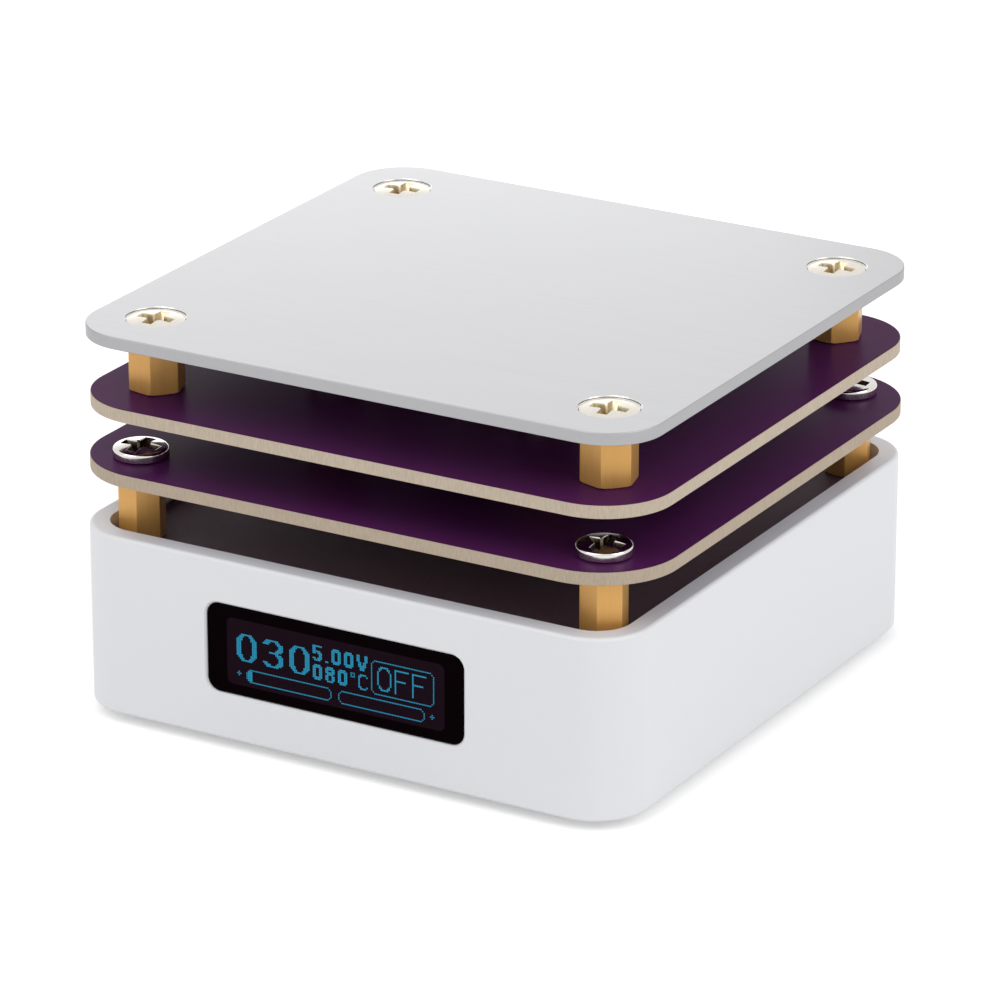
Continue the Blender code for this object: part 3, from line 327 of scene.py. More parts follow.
def notched(width, depth, notch_x, notch_y, radius):
    """Outline of a rectangle whose corners are cut back square to notch_x and notch_y."""
    outline = []
    for quarter, (side_x, side_y) in enumerate(QUARTERS):
        centre = Vector((side_x * (notch_x + radius), side_y * (notch_y + radius)))
        corner = [Vector((side_x * width / 2, side_y * notch_y))]
        for step in range(EDGE_STEPS * 2 + 1):
            angle = step / (EDGE_STEPS * 2) * math.pi / 2
            corner.append(centre - radius * Vector((side_x * math.sin(angle), side_y * math.cos(angle))))
        corner.append(Vector((side_x * notch_x, side_y * depth / 2)))
        outline += corner if quarter % 2 == 0 else reversed(corner)
    return outline


def circle(radius, sides=ROUND_SIDES):
    """Outline of a circle."""
    turns = [index * math.tau / sides for index in range(sides)]
    return [Vector((radius * math.cos(turn), radius * math.sin(turn))) for turn in turns]


def cross(span, width):
    """Outline of a plus sign whose inner corners are cut off a little."""
    arm, half = span / 2, width / 2
    inner = half * ARM_INNER_CORNER
    quarter = [Vector((arm, -half)), Vector((arm, half)), Vector((inner, half)), Vector((half, inner))]
    return [Matrix.Rotation(turn * math.pi / 2, 2) @ point for turn in range(4) for point in quarter]


def add_loft(solid, sections, place=None):
    """Adds a closed skin over sections, each an outline and its height, with flat ends."""
    place = place or Matrix.Identity(4)
    rings = []
    for outline, height in sections:
        rings.append([solid.verts.new(place @ Vector((x, y, height))) for x, y in outline])
    count = len(rings[0])
    for ring, following in zip(rings, rings[1:]):
        for index in range(count):
            after = (index + 1) % count
            solid.faces.new((ring[index], ring[after], following[after], following[index]))
    solid.faces.new(tuple(reversed(rings[0])))
    solid.faces.new(tuple(rings[-1]))


def loft(sections, place=None):
    """A new solid over sections."""
    solid = bmesh.new()
    add_loft(solid, sections, place)
    return solid


def turned(profile, sides=ROUND_SIDES):
    """A turned solid over (radius, height) points, from its lowest end up."""
    return loft([(circle(radius, sides), height) for radius, height in profile])


def columns(places, radius, low, high):
    """Round cutters that stand at plan positions."""
    tool = bmesh.new()
    for place in places:
        stand = Matrix.Translation((place.x, place.y, 0))
        add_loft(tool, [(circle(radius), low), (circle(radius), high)], stand)
    return tool


def boolean(body, tool, operation="DIFFERENCE"):
    """The body after a Boolean with the tool. Both are used up."""
    pieces = []
    for name, solid in (("body", body), ("tool", tool)):
        mesh = bpy.data.meshes.new(name)
        solid.to_mesh(mesh)
        solid.free()
        pieces.append(bpy.data.objects.new(name, mesh))
        bpy.context.scene.collection.objects.link(pieces[-1])
    step = pieces[0].modifiers.new("step", "BOOLEAN")
    step.operation = operation
    step.object = pieces[1]
    result = bmesh.new()
    result.from_object(pieces[0], bpy.context.evaluated_depsgraph_get())
    for piece in pieces:
        mesh = piece.data
        bpy.data.objects.remove(piece)
        bpy.data.meshes.remove(mesh)
    return result


def slab(width, depth, radius, bottom, top, edge):
    """Sections of a flat body whose top and bottom edges are rounded over."""
    insets = []
    for step in range(EDGE_STEPS + 1):
        angle = step / EDGE_STEPS * math.pi / 2
        insets.append((edge * (1 - math.sin(angle)), edge * (1 - math.cos(angle))))
    places = [(inset, bottom + rise) for inset, rise in insets]
    places += [(inset, top - rise) for inset, rise in reversed(insets)]
    return [(set_in(width, depth, inset, radius - inset), z) for inset, z in places]


def upright(outward):
    """Turns a flat drawing upright: its y goes up and its z points outward from the part."""
    up = Vector((0, 0, 1))
    return Matrix((up.cross(outward), up, outward)).transposed().to_4x4()


FRONT = Vector((0, -1, 0))
BACK = Vector((0, 1, 0))
LEFT = Vector((-1, 0, 0))


# Pieces on the frame

def mesh_of(name, solid, materials, chooser=None, angle=SHARP_ANGLE):
    """A mesh that is smooth over round faces and sharp at edges. chooser gives a face's material."""
    mesh = bpy.data.meshes.new(name)
    bmesh.ops.recalc_face_normals(solid, faces=solid.faces)
    if chooser:
        for face in solid.faces:
            face.material_index = chooser(face.calc_center_median(), face.normal)
    solid.to_mesh(mesh)
    solid.free()
    mesh.shade_smooth()
    mesh.set_sharp_from_angle(angle=angle)
    for material in materials:
        mesh.materials.append(material)
    return mesh


def add_piece(name, mesh, nodes=(), body="body", place=None, bevel=0.0):
    """Puts a mesh on a CAD body, in place of the nodes that it stands for."""
    piece = bpy.data.objects.new(name, mesh)
    piece.matrix_world = place or Matrix.Identity(4)
    bpy.context.scene.collection.objects.link(piece)
    if bevel:
        soften = piece.modifiers.new("edge", "BEVEL")
        soften.width = bevel
        soften.segments = BEVEL_SEGMENTS
        soften.limit_method = "ANGLE"
        soften.angle_limit = BEVEL_ANGLE
        soften.use_clamp_overlap = True
        piece.modifiers.new("weld", "WELD").merge_threshold = WELD_REACH
    weigh = piece.modifiers.new("normals", "WEIGHTED_NORMAL")
    weigh.keep_sharp = True
    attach(piece, body)
    if nodes:
        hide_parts(*nodes)


def middle_of(node):
    """Middle of a node's box."""
    low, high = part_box(node)
    return (low + high) / 2


def posts(kind):
    """Middles of the four nodes of a kind, one at each corner."""
    return [middle_of(f"{kind}_{corner}") for corner in CORNERS]


# Materials

def mottled(name, colour, roughness, metallic=0.0, grain=0.0006, stretch=(1, 1, 1), mottle=0.05,
            uneven=0.05, relief=0.0, detail=4.0, specular=0.5):
    """A finish whose colour, roughness and relief vary with a grain of the given size in metres."""
    made = bpy.data.materials.new(name)
    made.use_nodes = True
    nodes, links = made.node_tree.nodes, made.node_tree.links
    shader = nodes["Principled BSDF"]
    shader.inputs["Metallic"].default_value = metallic
    shader.inputs["Specular IOR Level"].default_value = specular
    place = nodes.new("ShaderNodeTexCoord")
    scale = nodes.new("ShaderNodeMapping")
    scale.inputs["Scale"].default_value = [share / grain for share in stretch]
    noise = nodes.new("ShaderNodeTexNoise")
    noise.inputs["Scale"].default_value = 1.0
    noise.inputs["Detail"].default_value = detail
    noise.inputs["Roughness"].default_value = NOISE_ROUGHNESS
    links.new(place.outputs["Object"], scale.inputs["Vector"])
    links.new(scale.outputs["Vector"], noise.inputs["Vector"])
    shade = nodes.new("ShaderNodeMix")
    shade.data_type = "RGBA"
    light = [min(share * (1 + mottle), 1) for share in colour]
    dark = [share * (1 - mottle) for share in colour]
    shade.inputs[MIX_FIRST].default_value = (*dark, 1)
    shade.inputs[MIX_SECOND].default_value = (*light, 1)
    links.new(noise.outputs["Fac"], shade.inputs[MIX_FACTOR])
    links.new(shade.outputs[MIX_RESULT], shader.inputs["Base Color"])
    gloss = nodes.new("ShaderNodeMapRange")
    gloss.inputs["From Min"].default_value = NOISE_LOW
    gloss.inputs["From Max"].default_value = NOISE_HIGH
    gloss.inputs["To Min"].default_value = max(roughness - uneven, LEAST_ROUGHNESS)
    gloss.inputs["To Max"].default_value = roughness + uneven
    links.new(noise.outputs["Fac"], gloss.inputs["Value"])
    links.new(gloss.outputs["Result"], shader.inputs["Roughness"])
    if relief:
        bump = nodes.new("ShaderNodeBump")
        bump.inputs["Distance"].default_value = relief
        links.new(noise.outputs["Fac"], bump.inputs["Height"])
        links.new(bump.outputs["Normal"], shader.inputs["Normal"])
    return made


def glowing(name, colour, strength):
    """A lit display dot, a little brighter in some places than in others."""
    unlit = [share * UNLIT_SHARE for share in colour]
    made = mottled(name, unlit, roughness=0.4, grain=0.0004, mottle=0.1, specular=0.1)
    nodes, links = made.node_tree.nodes, made.node_tree.links
    shader = nodes["Principled BSDF"]
    noise = next(node for node in nodes if node.type == "TEX_NOISE")
    glow = nodes.new("ShaderNodeMix")
    glow.data_type = "RGBA"
    glow.inputs[MIX_FIRST].default_value = (*[share * (1 - GLOW_SWING) for share in colour], 1)
    glow.inputs[MIX_SECOND].default_value = (*[share * (1 + GLOW_SWING) for share in colour], 1)
    links.new(noise.outputs["Fac"], glow.inputs[MIX_FACTOR])
    links.new(glow.outputs[MIX_RESULT], shader.inputs["Emission Color"])
    shader.inputs["Emission Strength"].default_value = strength
    return made


finish = {
    "plate": mottled("brushed aluminium", (0.566, 0.566, 0.578), 0.33, 1.0, grain=0.00042,
                     stretch=(0.02, 1, 1), mottle=0.10, uneven=0.05, relief=0.000002),
    # The cut edge is darker than the top: partly the duller cut metal, partly painted shade for the darker
    # surroundings it mirrors.
    "plate_edge": mottled("cut aluminium edge, partly painted shade", (0.40, 0.40, 0.41), 0.45, 1.0, grain=0.00012,
                          stretch=(1, 1, 0.3), mottle=0.10, uneven=0.08, relief=0.000003),
    # The underside's dark colour is painted shade, so the space under the plate stays dark.
    "underside": mottled("plate underside, dark as painted shade", (0.26, 0.26, 0.27), 0.50, 1.0, grain=0.0008,
                         mottle=0.10, uneven=0.08, relief=0.000004),
    "sink": mottled("machined countersink", (0.78, 0.77, 0.76), 0.22, 1.0, grain=0.00015,
                    stretch=(1, 1, 3), mottle=0.05, uneven=0.05),
    "nickel": mottled("nickel-plated steel", (0.76, 0.72, 0.64), 0.26, 1.0, grain=0.0010,
                      mottle=0.06, uneven=0.05, relief=0.000006, detail=2.0),
    "bright_nickel": mottled("bright nickel plate", (0.74, 0.71, 0.67), 0.12, 1.0, grain=0.0010,
                             mottle=0.06, uneven=0.04, relief=0.000006, detail=2.0),
    # The dark recess colour is painted shade in the pan heads' cross recesses.
    "recess": mottled("recess with painted shade", (0.16, 0.125, 0.085), 0.26, 1.0, grain=0.0006,
                      mottle=0.30, uneven=0.08, relief=0.000010, detail=2.0),
    # The pale recess colour is painted shade with a painted warm brass reflection, for the plate screws.
    "pale_recess_painted_shade": mottled("pale recess with painted shade and reflection", (0.56, 0.475, 0.335), 0.26, 1.0, grain=0.0006,
                           mottle=0.30, uneven=0.08, relief=0.000010, detail=2.0),
    "brass": mottled("drawn brass", (0.73, 0.395, 0.111), 0.34, 0.44, grain=0.00030,
                     stretch=(1, 1, 0.06), mottle=0.06, uneven=0.03, detail=2.0),
    "purple_board": mottled("purple solder mask", (0.082, 0.014, 0.086), 0.30, grain=0.0016,
                            mottle=0.03, uneven=0.012, detail=1.0, specular=0.018),
    "upper_edge": mottled("cut fibre edge", (0.535, 0.445, 0.345), 0.75, grain=0.00016,
                          stretch=(1, 1, 0.2), mottle=0.30, uneven=0.08, relief=0.00002),
    # The lower board's edge is the upper edge's fibre made darker: painted shade.
    "shaded_lower_edge": mottled("cut fibre edge, darker as painted shade", (0.455, 0.370, 0.282), 0.75, grain=0.00016,
                          stretch=(1, 1, 0.2), mottle=0.30, uneven=0.08, relief=0.00002),
    "deck": mottled("charcoal fibre board", (0.118, 0.067, 0.080), 0.60, grain=0.00030,
                    mottle=0.45, uneven=0.10, relief=0.00003, specular=0.20),
    "casing_white": mottled("satin white moulding", (0.790, 0.796, 0.818), 0.42, grain=0.00018,
                            mottle=0.012, uneven=0.05, relief=0.000004),
    "window": mottled("gloss black acrylic", (0.0024, 0.0006, 0.0013), 0.07, grain=0.004,
                      mottle=0.2, uneven=0.02, specular=0.006),
    "view_area": mottled("unlit display face", (0.0102, 0.0032, 0.0080), 0.09, grain=0.0008,
                         mottle=0.10, uneven=0.02, specular=0.02),
    "lit_dot": glowing("lit display dot", (0.022, 0.365, 0.600), 0.70),
    "display_glass": mottled("display glass", (0.012, 0.006, 0.010), 0.10, grain=0.002,
                             mottle=0.1, uneven=0.03),
    "amber_film": mottled("amber film", (0.45, 0.20, 0.04), 0.35, grain=0.0008, mottle=0.12,
                          uneven=0.08),
    "button_grey": mottled("grey moulding", (0.36, 0.36, 0.38), 0.48, grain=0.00016,
                           mottle=0.03, uneven=0.06, relief=0.000005),
    "black_plastic": mottled("black component plastic", (0.016, 0.014, 0.015), 0.55,
                             grain=0.00012, mottle=0.25, uneven=0.08, relief=0.000006),
    "socket_steel": mottled("drawn steel shell", (0.62, 0.62, 0.63), 0.26, 1.0, grain=0.0002,
                            stretch=(1, 0.1, 1), mottle=0.06, uneven=0.07, relief=0.000002),
    "green_board": mottled("green solder mask", (0.010, 0.10, 0.040), 0.32, grain=0.0006,
                           mottle=0.15, uneven=0.08, relief=0.000003),
    "heater_ceramic": mottled("pale heater ceramic", (0.40, 0.375, 0.33), 0.62, grain=0.0003,
                              mottle=0.06, uneven=0.06, relief=0.00001),
    "lead_sleeve": mottled("red silicone sleeve", (0.55, 0.075, 0.045), 0.50, grain=0.0004,
                           mottle=0.10, uneven=0.08, relief=0.000006),
    "connector_white": mottled("natural nylon", (0.75, 0.73, 0.67), 0.48, grain=0.0003,
                               mottle=0.03, uneven=0.06, relief=0.000004),
    "foot_rubber": mottled("black rubber", (0.020, 0.020, 0.021), 0.80, grain=0.0002,
                           mottle=0.20, uneven=0.08, relief=0.00001),
    "gold": mottled("gold-plated contact", (0.85, 0.62, 0.24), 0.22, 1.0, grain=0.0003,
                    mottle=0.06, uneven=0.05),
}


# Plate and boards

def make_plate():
    """The heating plate with brushed faces, cut edges that are darker partly as painted shade, bright
    countersinks, and an underside painted dark as shade.
    """
    low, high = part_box("heating_plate")
    size = high - low
    body = loft(slab(size.x, size.y, PLATE_CORNER_RADIUS, low.z, high.z, PLATE_EDGE_ROUND))
    sinks = bmesh.new()
    lip = high.z - SINK_LIP_SHARE * FLAT_HEAD_DEPTH
    places = posts("plate_screw")
    for place in places:
        add_loft(sinks, [
            (circle(SINK_NECK_RADIUS), low.z - OVERSHOOT),
            (circle(SINK_NECK_RADIUS), high.z - FLAT_HEAD_DEPTH),
            (circle(SINK_MOUTH_RADIUS), lip),
            (circle(SINK_MOUTH_RADIUS), high.z - SINK_EDGE_ROUND),
            (circle(SINK_MOUTH_RADIUS + SINK_EDGE_ROUND), high.z),
            (circle(SINK_MOUTH_RADIUS + SINK_EDGE_ROUND), high.z + OVERSHOOT),
        ], Matrix.Translation((place.x, place.y, 0)))
    body = boolean(body, sinks)

    def choose(centre, normal):
        reach = min((centre.xy - place.xy).length for place in places)
        if reach < SINK_MOUTH_RADIUS + SINK_EDGE_ROUND:
            return 2
        # Downward faces take the underside colour, which is painted shade.
        if normal.z < -LEVEL_FACE:
            return 3
        return 0 if normal.z > LEVEL_FACE else 1

    materials = [finish[name] for name in ("plate", "plate_edge", "sink", "underside")]
    mesh = mesh_of("heating_plate_fine", body, materials, choose)
    add_piece("heating_plate_fine", mesh, ["heating_plate"])


def make_board(node, radius, edge, drilled):
    """A board whose solder mask stops just short of its bare cut edge."""
    low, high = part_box(node)
    size = high - low
    sections = []
    for inset, z in (
        (2 * MASK_INSET, low.z),
        (MASK_INSET, low.z + MASK_DEPTH / 2),
        (MASK_INSET, low.z + MASK_DEPTH),
        (0, low.z + MASK_DEPTH),
        (0, high.z - MASK_DEPTH),
        (MASK_INSET, high.z - MASK_DEPTH),
        (MASK_INSET, high.z - MASK_DEPTH / 2),
        (2 * MASK_INSET, high.z),
    ):
        sections.append((set_in(size.x, size.y, inset, radius - inset), z))
    body = loft(sections)
    for kind, hole_radius in drilled:
        body = boolean(body, columns(posts(kind), hole_radius, low.z - OVERSHOOT, high.z + OVERSHOOT))
    slot = rectangle(LEAD_SLOT_WIDTH, LEAD_SLOT_DEPTH, LEAD_SLOT_DEPTH / 2)
    stand = Matrix.Translation((0, LEAD_SLOT_Y, 0))
    body = boolean(body, loft([(slot, low.z - OVERSHOOT), (slot, high.z + OVERSHOOT)], stand))
    bare = (low.z + MASK_DEPTH - HAIR, high.z - MASK_DEPTH + HAIR)
    mesh = mesh_of(f"{node}_fine", body, [finish["purple_board"], finish[edge]],
                   lambda centre, normal: 1 if bare[0] <= centre.z <= bare[1] else 0)
    add_piece(f"{node}_fine", mesh, [node])


# Screws and standoffs

def recess(span, depth, top):
    """Cutter for a cross recess: four tapered arms and a cone at their middle."""
    brow = depth * ARM_BROW_DEPTH
    arms = loft([
        (cross(span * ARM_FLOOR_SPAN, span * ARM_FLOOR_WIDTH), top - depth),
        (cross(span * ARM_BROW_SPAN, span * ARM_BROW_WIDTH), top - brow),
        (cross(span * ARM_MOUTH_SPAN, span * ARM_MOUTH_WIDTH), top + brow),
    ])
    cone = turned([
        (span * CONE_TIP_RADIUS, top - depth * CONE_TIP_DEPTH),
        (span * CONE_WAIST_RADIUS, top - depth * CONE_WAIST_DEPTH),
        (span * CONE_MOUTH_RADIUS, top + brow),
    ], CONE_SIDES)
    return boolean(arms, cone, "UNION")


def recess_or_head(reach, surface, deepest):
    """Chooser: faces sunk below a head's surface take the second material, a recess colour that is painted
    shade, and the rest the first.
    """
    def choose(centre, normal):
        across = math.hypot(centre.x, centre.y)
        inside = across < reach and deepest < centre.z < surface(across) - RECESS_SKIN
        return 1 if inside else 0
    return choose


def screw_tip(radius, length):
    """Lowest points of a screw's profile: a tip that widens to the full radius."""
    tip = TIP_SHARE * radius
    return [(radius - tip, -length), (radius, tip - length)]


def flat_screw(name, radius, head_radius, head_depth, crown):
    """Countersunk screw whose crown reaches height 0, with a thin rim and a cross recess."""
    rim = head_radius * RIM_INNER_SHARE
    profile = screw_tip(radius, FLAT_SCREW_LENGTH)
    profile += [
        (radius, -head_depth),
        (rim, -RIM_FOOT_SHARE * head_depth),
        (head_radius, -RIM_TOP_SHARE * head_depth),
        (head_radius, -crown - RIM_DROP),
    ]
    for step in range(1, CROWN_STEPS):
        share = 1 - step / (CROWN_STEPS - 0.5)
        profile.append((rim * share, -crown * share * share))
    span = 2 * head_radius * FLAT_RECESS_SHARE
    cutter = recess(span, head_radius * RECESS_DEPTH_SHARE, -crown * FLAT_RECESS_TOP_SHARE)
    body = boolean(turned(profile), cutter)
    choose = recess_or_head(span * RECESS_REACH_SHARE, lambda across: -crown * (across / head_radius) ** 2,
                            FLAT_RECESS_FLOOR)
    # Recess faces take the pale colour of painted shade and painted reflection.
    return mesh_of(name, body, [finish["nickel"], finish["pale_recess_painted_shade"]], choose, HEAD_SHARP_ANGLE)


def pan_screw(name, radius, length):
    """Screw whose head sits on height 0, with a nearly flat top and a round shoulder."""
    flat = PAN_HEAD_RADIUS - PAN_SHOULDER

    def dome(across):
        drop = PAN_CROWN * min(across / flat, 1) ** 2
        past = min(max(across - flat, 0), PAN_SHOULDER)
        return PAN_HEAD_HEIGHT - drop - PAN_SHOULDER + math.sqrt(PAN_SHOULDER ** 2 - past ** 2)

    profile = screw_tip(radius, length)
    profile += [(radius, 0), (PAN_HEAD_RADIUS - PAN_FOOT_ROUND, 0), (PAN_HEAD_RADIUS, PAN_FOOT_ROUND)]
    turns = [step / PAN_STEPS * math.pi / 2 for step in range(PAN_STEPS + 1)]
    reaches = [flat + PAN_SHOULDER * math.cos(turn) for turn in turns]
    reaches += [flat * (1 - step / PAN_STEPS) for step in range(1, PAN_STEPS)]
    profile += [(reach, dome(reach)) for reach in reaches]

    span = 2 * PAN_HEAD_RADIUS * PAN_RECESS_SHARE
    cutter = recess(span, PAN_HEAD_RADIUS * RECESS_DEPTH_SHARE, PAN_HEAD_HEIGHT * PAN_RECESS_TOP_SHARE)
    body = boolean(turned(profile), cutter)
    choose = recess_or_head(span * RECESS_REACH_SHARE, dome, PAN_RECESS_FLOOR)
    # Recess faces take the dark colour, which is painted shade.
    return mesh_of(name, body, [finish["bright_nickel"], finish["recess"]], choose, HEAD_SHARP_ANGLE)


def standoff(name, flats, length, tail_radius, tail_length, bore_radius, bore_depth):
    """Hexagonal post on height 0, chamfered on a lathe, with a round tail and a bore in its top."""
    corner = flats / math.sqrt(3)
    reach = (flats / 2 - STANDOFF_EDGE_ROUND) / math.cos(math.pi / 6)
    hexagon = []
    for turn in range(6):
        out = turn * math.pi / 3
        for step in range(EDGE_STEPS + 1):
            angle = out + (step / EDGE_STEPS - 0.5) * math.pi / 3
            hexagon.append(spoke(reach, out) + spoke(STANDOFF_EDGE_ROUND, angle))
    face = FACE_SHARE * flats / 2
    outside = corner + LATHE_CLEARANCE
    rise = (outside - face) * math.tan(TOP_CHAMFER_ANGLE)
    limit = turned([
        (face + FOOT_CHAMFER_REACH, 0),
        (outside, FOOT_CHAMFER_HEIGHT),
        (outside, length - rise),
        (face, length),
    ])
    tail = turned([
        (tail_radius * (1 - TAIL_TIP_SHARE), -tail_length),
        (tail_radius, TAIL_TIP_SHARE * tail_radius - tail_length),
        (tail_radius, OVERSHOOT),
    ])
    bore = turned([
        (bore_radius, length - bore_depth),
        (bore_radius, length - BORE_MOUTH_DEPTH),
        (bore_radius + BORE_MOUTH_FLARE, length + BORE_MOUTH_RISE),
    ])
    body = boolean(loft([(hexagon, 0), (hexagon, length)]), limit, "INTERSECT")
    body = boolean(boolean(body, tail, "UNION"), bore)
    return mesh_of(name, body, [finish["brass"]])


def at_corners(kind, mesh, level, turns, bevel=0.0):
    """One copy of a mesh at each corner, at a height and with its own turn in degrees."""
    for corner, turn in zip(CORNERS, turns):
        node = f"{kind}_{corner}"
        at = middle_of(node)
        place = Matrix.Translation((at.x, at.y, level)) @ Matrix.Rotation(math.radians(turn), 4, "Z")
        add_piece(f"{node}_fine", mesh, [node], place=place, bevel=bevel)


def make_fastenings():
    """All screws and standoffs."""
    plate_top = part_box("heating_plate")[1].z
    upper_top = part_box("upper_board")[1].z
    lower_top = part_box("lower_board")[1].z
    deck_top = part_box("insulation_deck")[1].z
    board = upper_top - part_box("upper_board")[0].z
    mesh = flat_screw("plate_screw", SCREW_RADIUS, FLAT_HEAD_RADIUS, FLAT_HEAD_DEPTH, FLAT_CROWN)
    at_corners("plate_screw", mesh, plate_top, PLATE_SCREW_TURNS, SCREW_EDGE_ROUND)
    grip = board + 2 * SEAT_GAP + PAN_SCREW_REACH
    for kind, radius, top in (("lower_screw", LOWER_SCREW_RADIUS, lower_top),
                              ("inner_screw", SCREW_RADIUS, upper_top)):
        mesh = pan_screw(kind, radius, grip)
        at_corners(kind, mesh, top + SEAT_GAP, LOWER_SCREW_TURNS, SCREW_EDGE_ROUND)
    mesh = standoff("upper_standoff", UPPER_FLATS, UPPER_HEX_LENGTH, SHANK_RADIUS, board + SEAT_GAP,
                    BORE_RADIUS, UPPER_BORE_DEPTH)
    at_corners("upper_standoff", mesh, upper_top + SEAT_GAP, STANDOFF_TURNS)
    mesh = standoff("inner_standoff", UPPER_FLATS, INNER_HEX_LENGTH, SHANK_RADIUS, board + SEAT_GAP,
                    BORE_RADIUS, BORE_DEPTH)
    at_corners("inner_standoff", mesh, lower_top + SEAT_GAP, STANDOFF_TURNS)
    mesh = standoff("lower_standoff", LOWER_FLATS, LOWER_HEX_LENGTH, LOWER_SCREW_RADIUS, STUD_LENGTH,
                    LOWER_BORE_RADIUS, BORE_DEPTH)
    at_corners("lower_standoff", mesh, deck_top + SEAT_GAP, STANDOFF_TURNS)
    mesh = flat_screw("base_screw", LOWER_SCREW_RADIUS, BASE_HEAD_RADIUS, BASE_HEAD_DEPTH, BASE_CROWN)
    for corner in CORNERS:
        node = f"base_screw_{corner}"
        at = middle_of(node)
        place = Matrix.Translation((at.x, at.y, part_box(node)[0].z)) @ Matrix.Rotation(math.pi, 4, "X")
        add_piece(f"{node}_fine", mesh, [node], place=place, bevel=SCREW_EDGE_ROUND)


# Casing and what is set into it

def openings(kind):
    """Outline and place of each opening in a wall of the casing."""
    low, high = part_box("casing")
    if kind == "window":
        at = middle_of("display_window")
        return [(WINDOW_WIDTH, WINDOW_HEIGHT, WINDOW_RADIUS, Vector((at.x, low.y, at.z)), FRONT)]
    if kind == "buttons":
        size = (BUTTON_LENGTH + 2 * BUTTON_GAP, BUTTON_HEIGHT + 2 * BUTTON_GAP)
        return [(*size, size[1] / 2, Vector((low.x, middle_of(node).y, middle_of(node).z)), LEFT)
                for node in ("button_cap_front", "button_cap_back")]
    size = (SOCKET_WIDTH + 2 * SOCKET_GAP, SOCKET_HEIGHT + 2 * SOCKET_GAP)
    at = middle_of("power_socket")
    return [(*size, size[1] / 2, Vector((at.x, high.y, at.z)), BACK)]


def make_casing():
    """The moulded casing: walls with rounded edges, corner blocks, and flared openings."""
    low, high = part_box("casing")
    size = high - low
    inner = (size.x - 2 * CASING_WALL, size.y - 2 * CASING_WALL)
    pocket = rectangle(*inner, CASING_CORNER_RADIUS - CASING_WALL)
    between = notched(*inner, BLOCK_X, BLOCK_Y, BLOCK_ROUND)
    body = loft(slab(size.x, size.y, CASING_CORNER_RADIUS, low.z, high.z, CASING_EDGE_ROUND))
    body = boolean(body, loft([(pocket, BLOCK_TOP), (pocket, high.z + OVERSHOOT)]))
    body = boolean(body, loft([(pocket, low.z - OVERSHOOT), (pocket, BLOCK_BOTTOM)]))
    body = boolean(body, loft([(between, BLOCK_BOTTOM - OVERSHOOT), (between, BLOCK_TOP + OVERSHOOT)]))
    for kind in ("window", "buttons", "socket"):
        for width, height, radius, at, outward in openings(kind):
            mouth = rectangle(width, height, radius, OPENING_STEPS)
            flared = rectangle(width + 2 * MOUTH_FLARE, height + 2 * MOUTH_FLARE, radius + MOUTH_FLARE,
                               OPENING_STEPS)
            place = Matrix.Translation(at) @ upright(outward)
            body = boolean(body, loft([(mouth, -CASING_WALL - OVERSHOOT), (mouth, -MOUTH_FLARE),
                                       (flared, 0), (flared, OVERSHOOT)], place))
    for kind, bottom, top in (("lower_screw", STUD_END, BLOCK_TOP + OVERSHOOT),
                              ("base_screw", BLOCK_BOTTOM - OVERSHOOT, BASE_SCREW_END)):
        body = boolean(body, columns(posts(kind), LOWER_BORE_RADIUS, bottom, top))
    mesh = mesh_of("casing_fine", body, [finish["casing_white"]])
    add_piece("casing_fine", mesh, ["casing"])


def make_window():
    """The window pane with a broken edge, set a hair behind the wall, and the display's face on it."""
    low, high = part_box("display_window")
    at = middle_of("display_window")
    facing = Matrix.Translation((at.x, low.y, at.z)) @ upright(FRONT)
    width = WINDOW_WIDTH - 2 * PANE_GAP
    height = WINDOW_HEIGHT - 2 * PANE_GAP
    radius = WINDOW_RADIUS - PANE_GAP
    pane = rectangle(width, height, radius, WINDOW_STEPS)
    rim = set_in(width, height, PANE_EDGE, radius - PANE_EDGE, WINDOW_STEPS)
    flange = rectangle(high.x - low.x, high.z - low.z, WINDOW_RADIUS, WINDOW_STEPS)
    behind = -CASING_WALL - SEAT_GAP
    body = loft([
        (flange, low.y - high.y),
        (flange, behind),
        (pane, behind),
        (pane, -PANE_SINK - PANE_EDGE),
        (rim, -PANE_SINK),
    ], facing)
    mesh = mesh_of("display_window_fine", body, [finish["window"]])
    add_piece("display_window_fine", mesh, ["display_window"])
    area = rectangle(VIEW_RIGHT - VIEW_LEFT, VIEW_TOP - VIEW_BOTTOM, VIEW_RADIUS, VIEW_STEPS)
    middle = Vector(((VIEW_LEFT + VIEW_RIGHT) / 2, low.y + PANE_SINK, (VIEW_TOP + VIEW_BOTTOM) / 2))
    body = loft([(area, -LAYER), (area, LAYER)], Matrix.Translation(middle) @ upright(FRONT))
    mesh = mesh_of("display_view_area", body, [finish["view_area"]])
    add_piece("display_view_area", mesh)


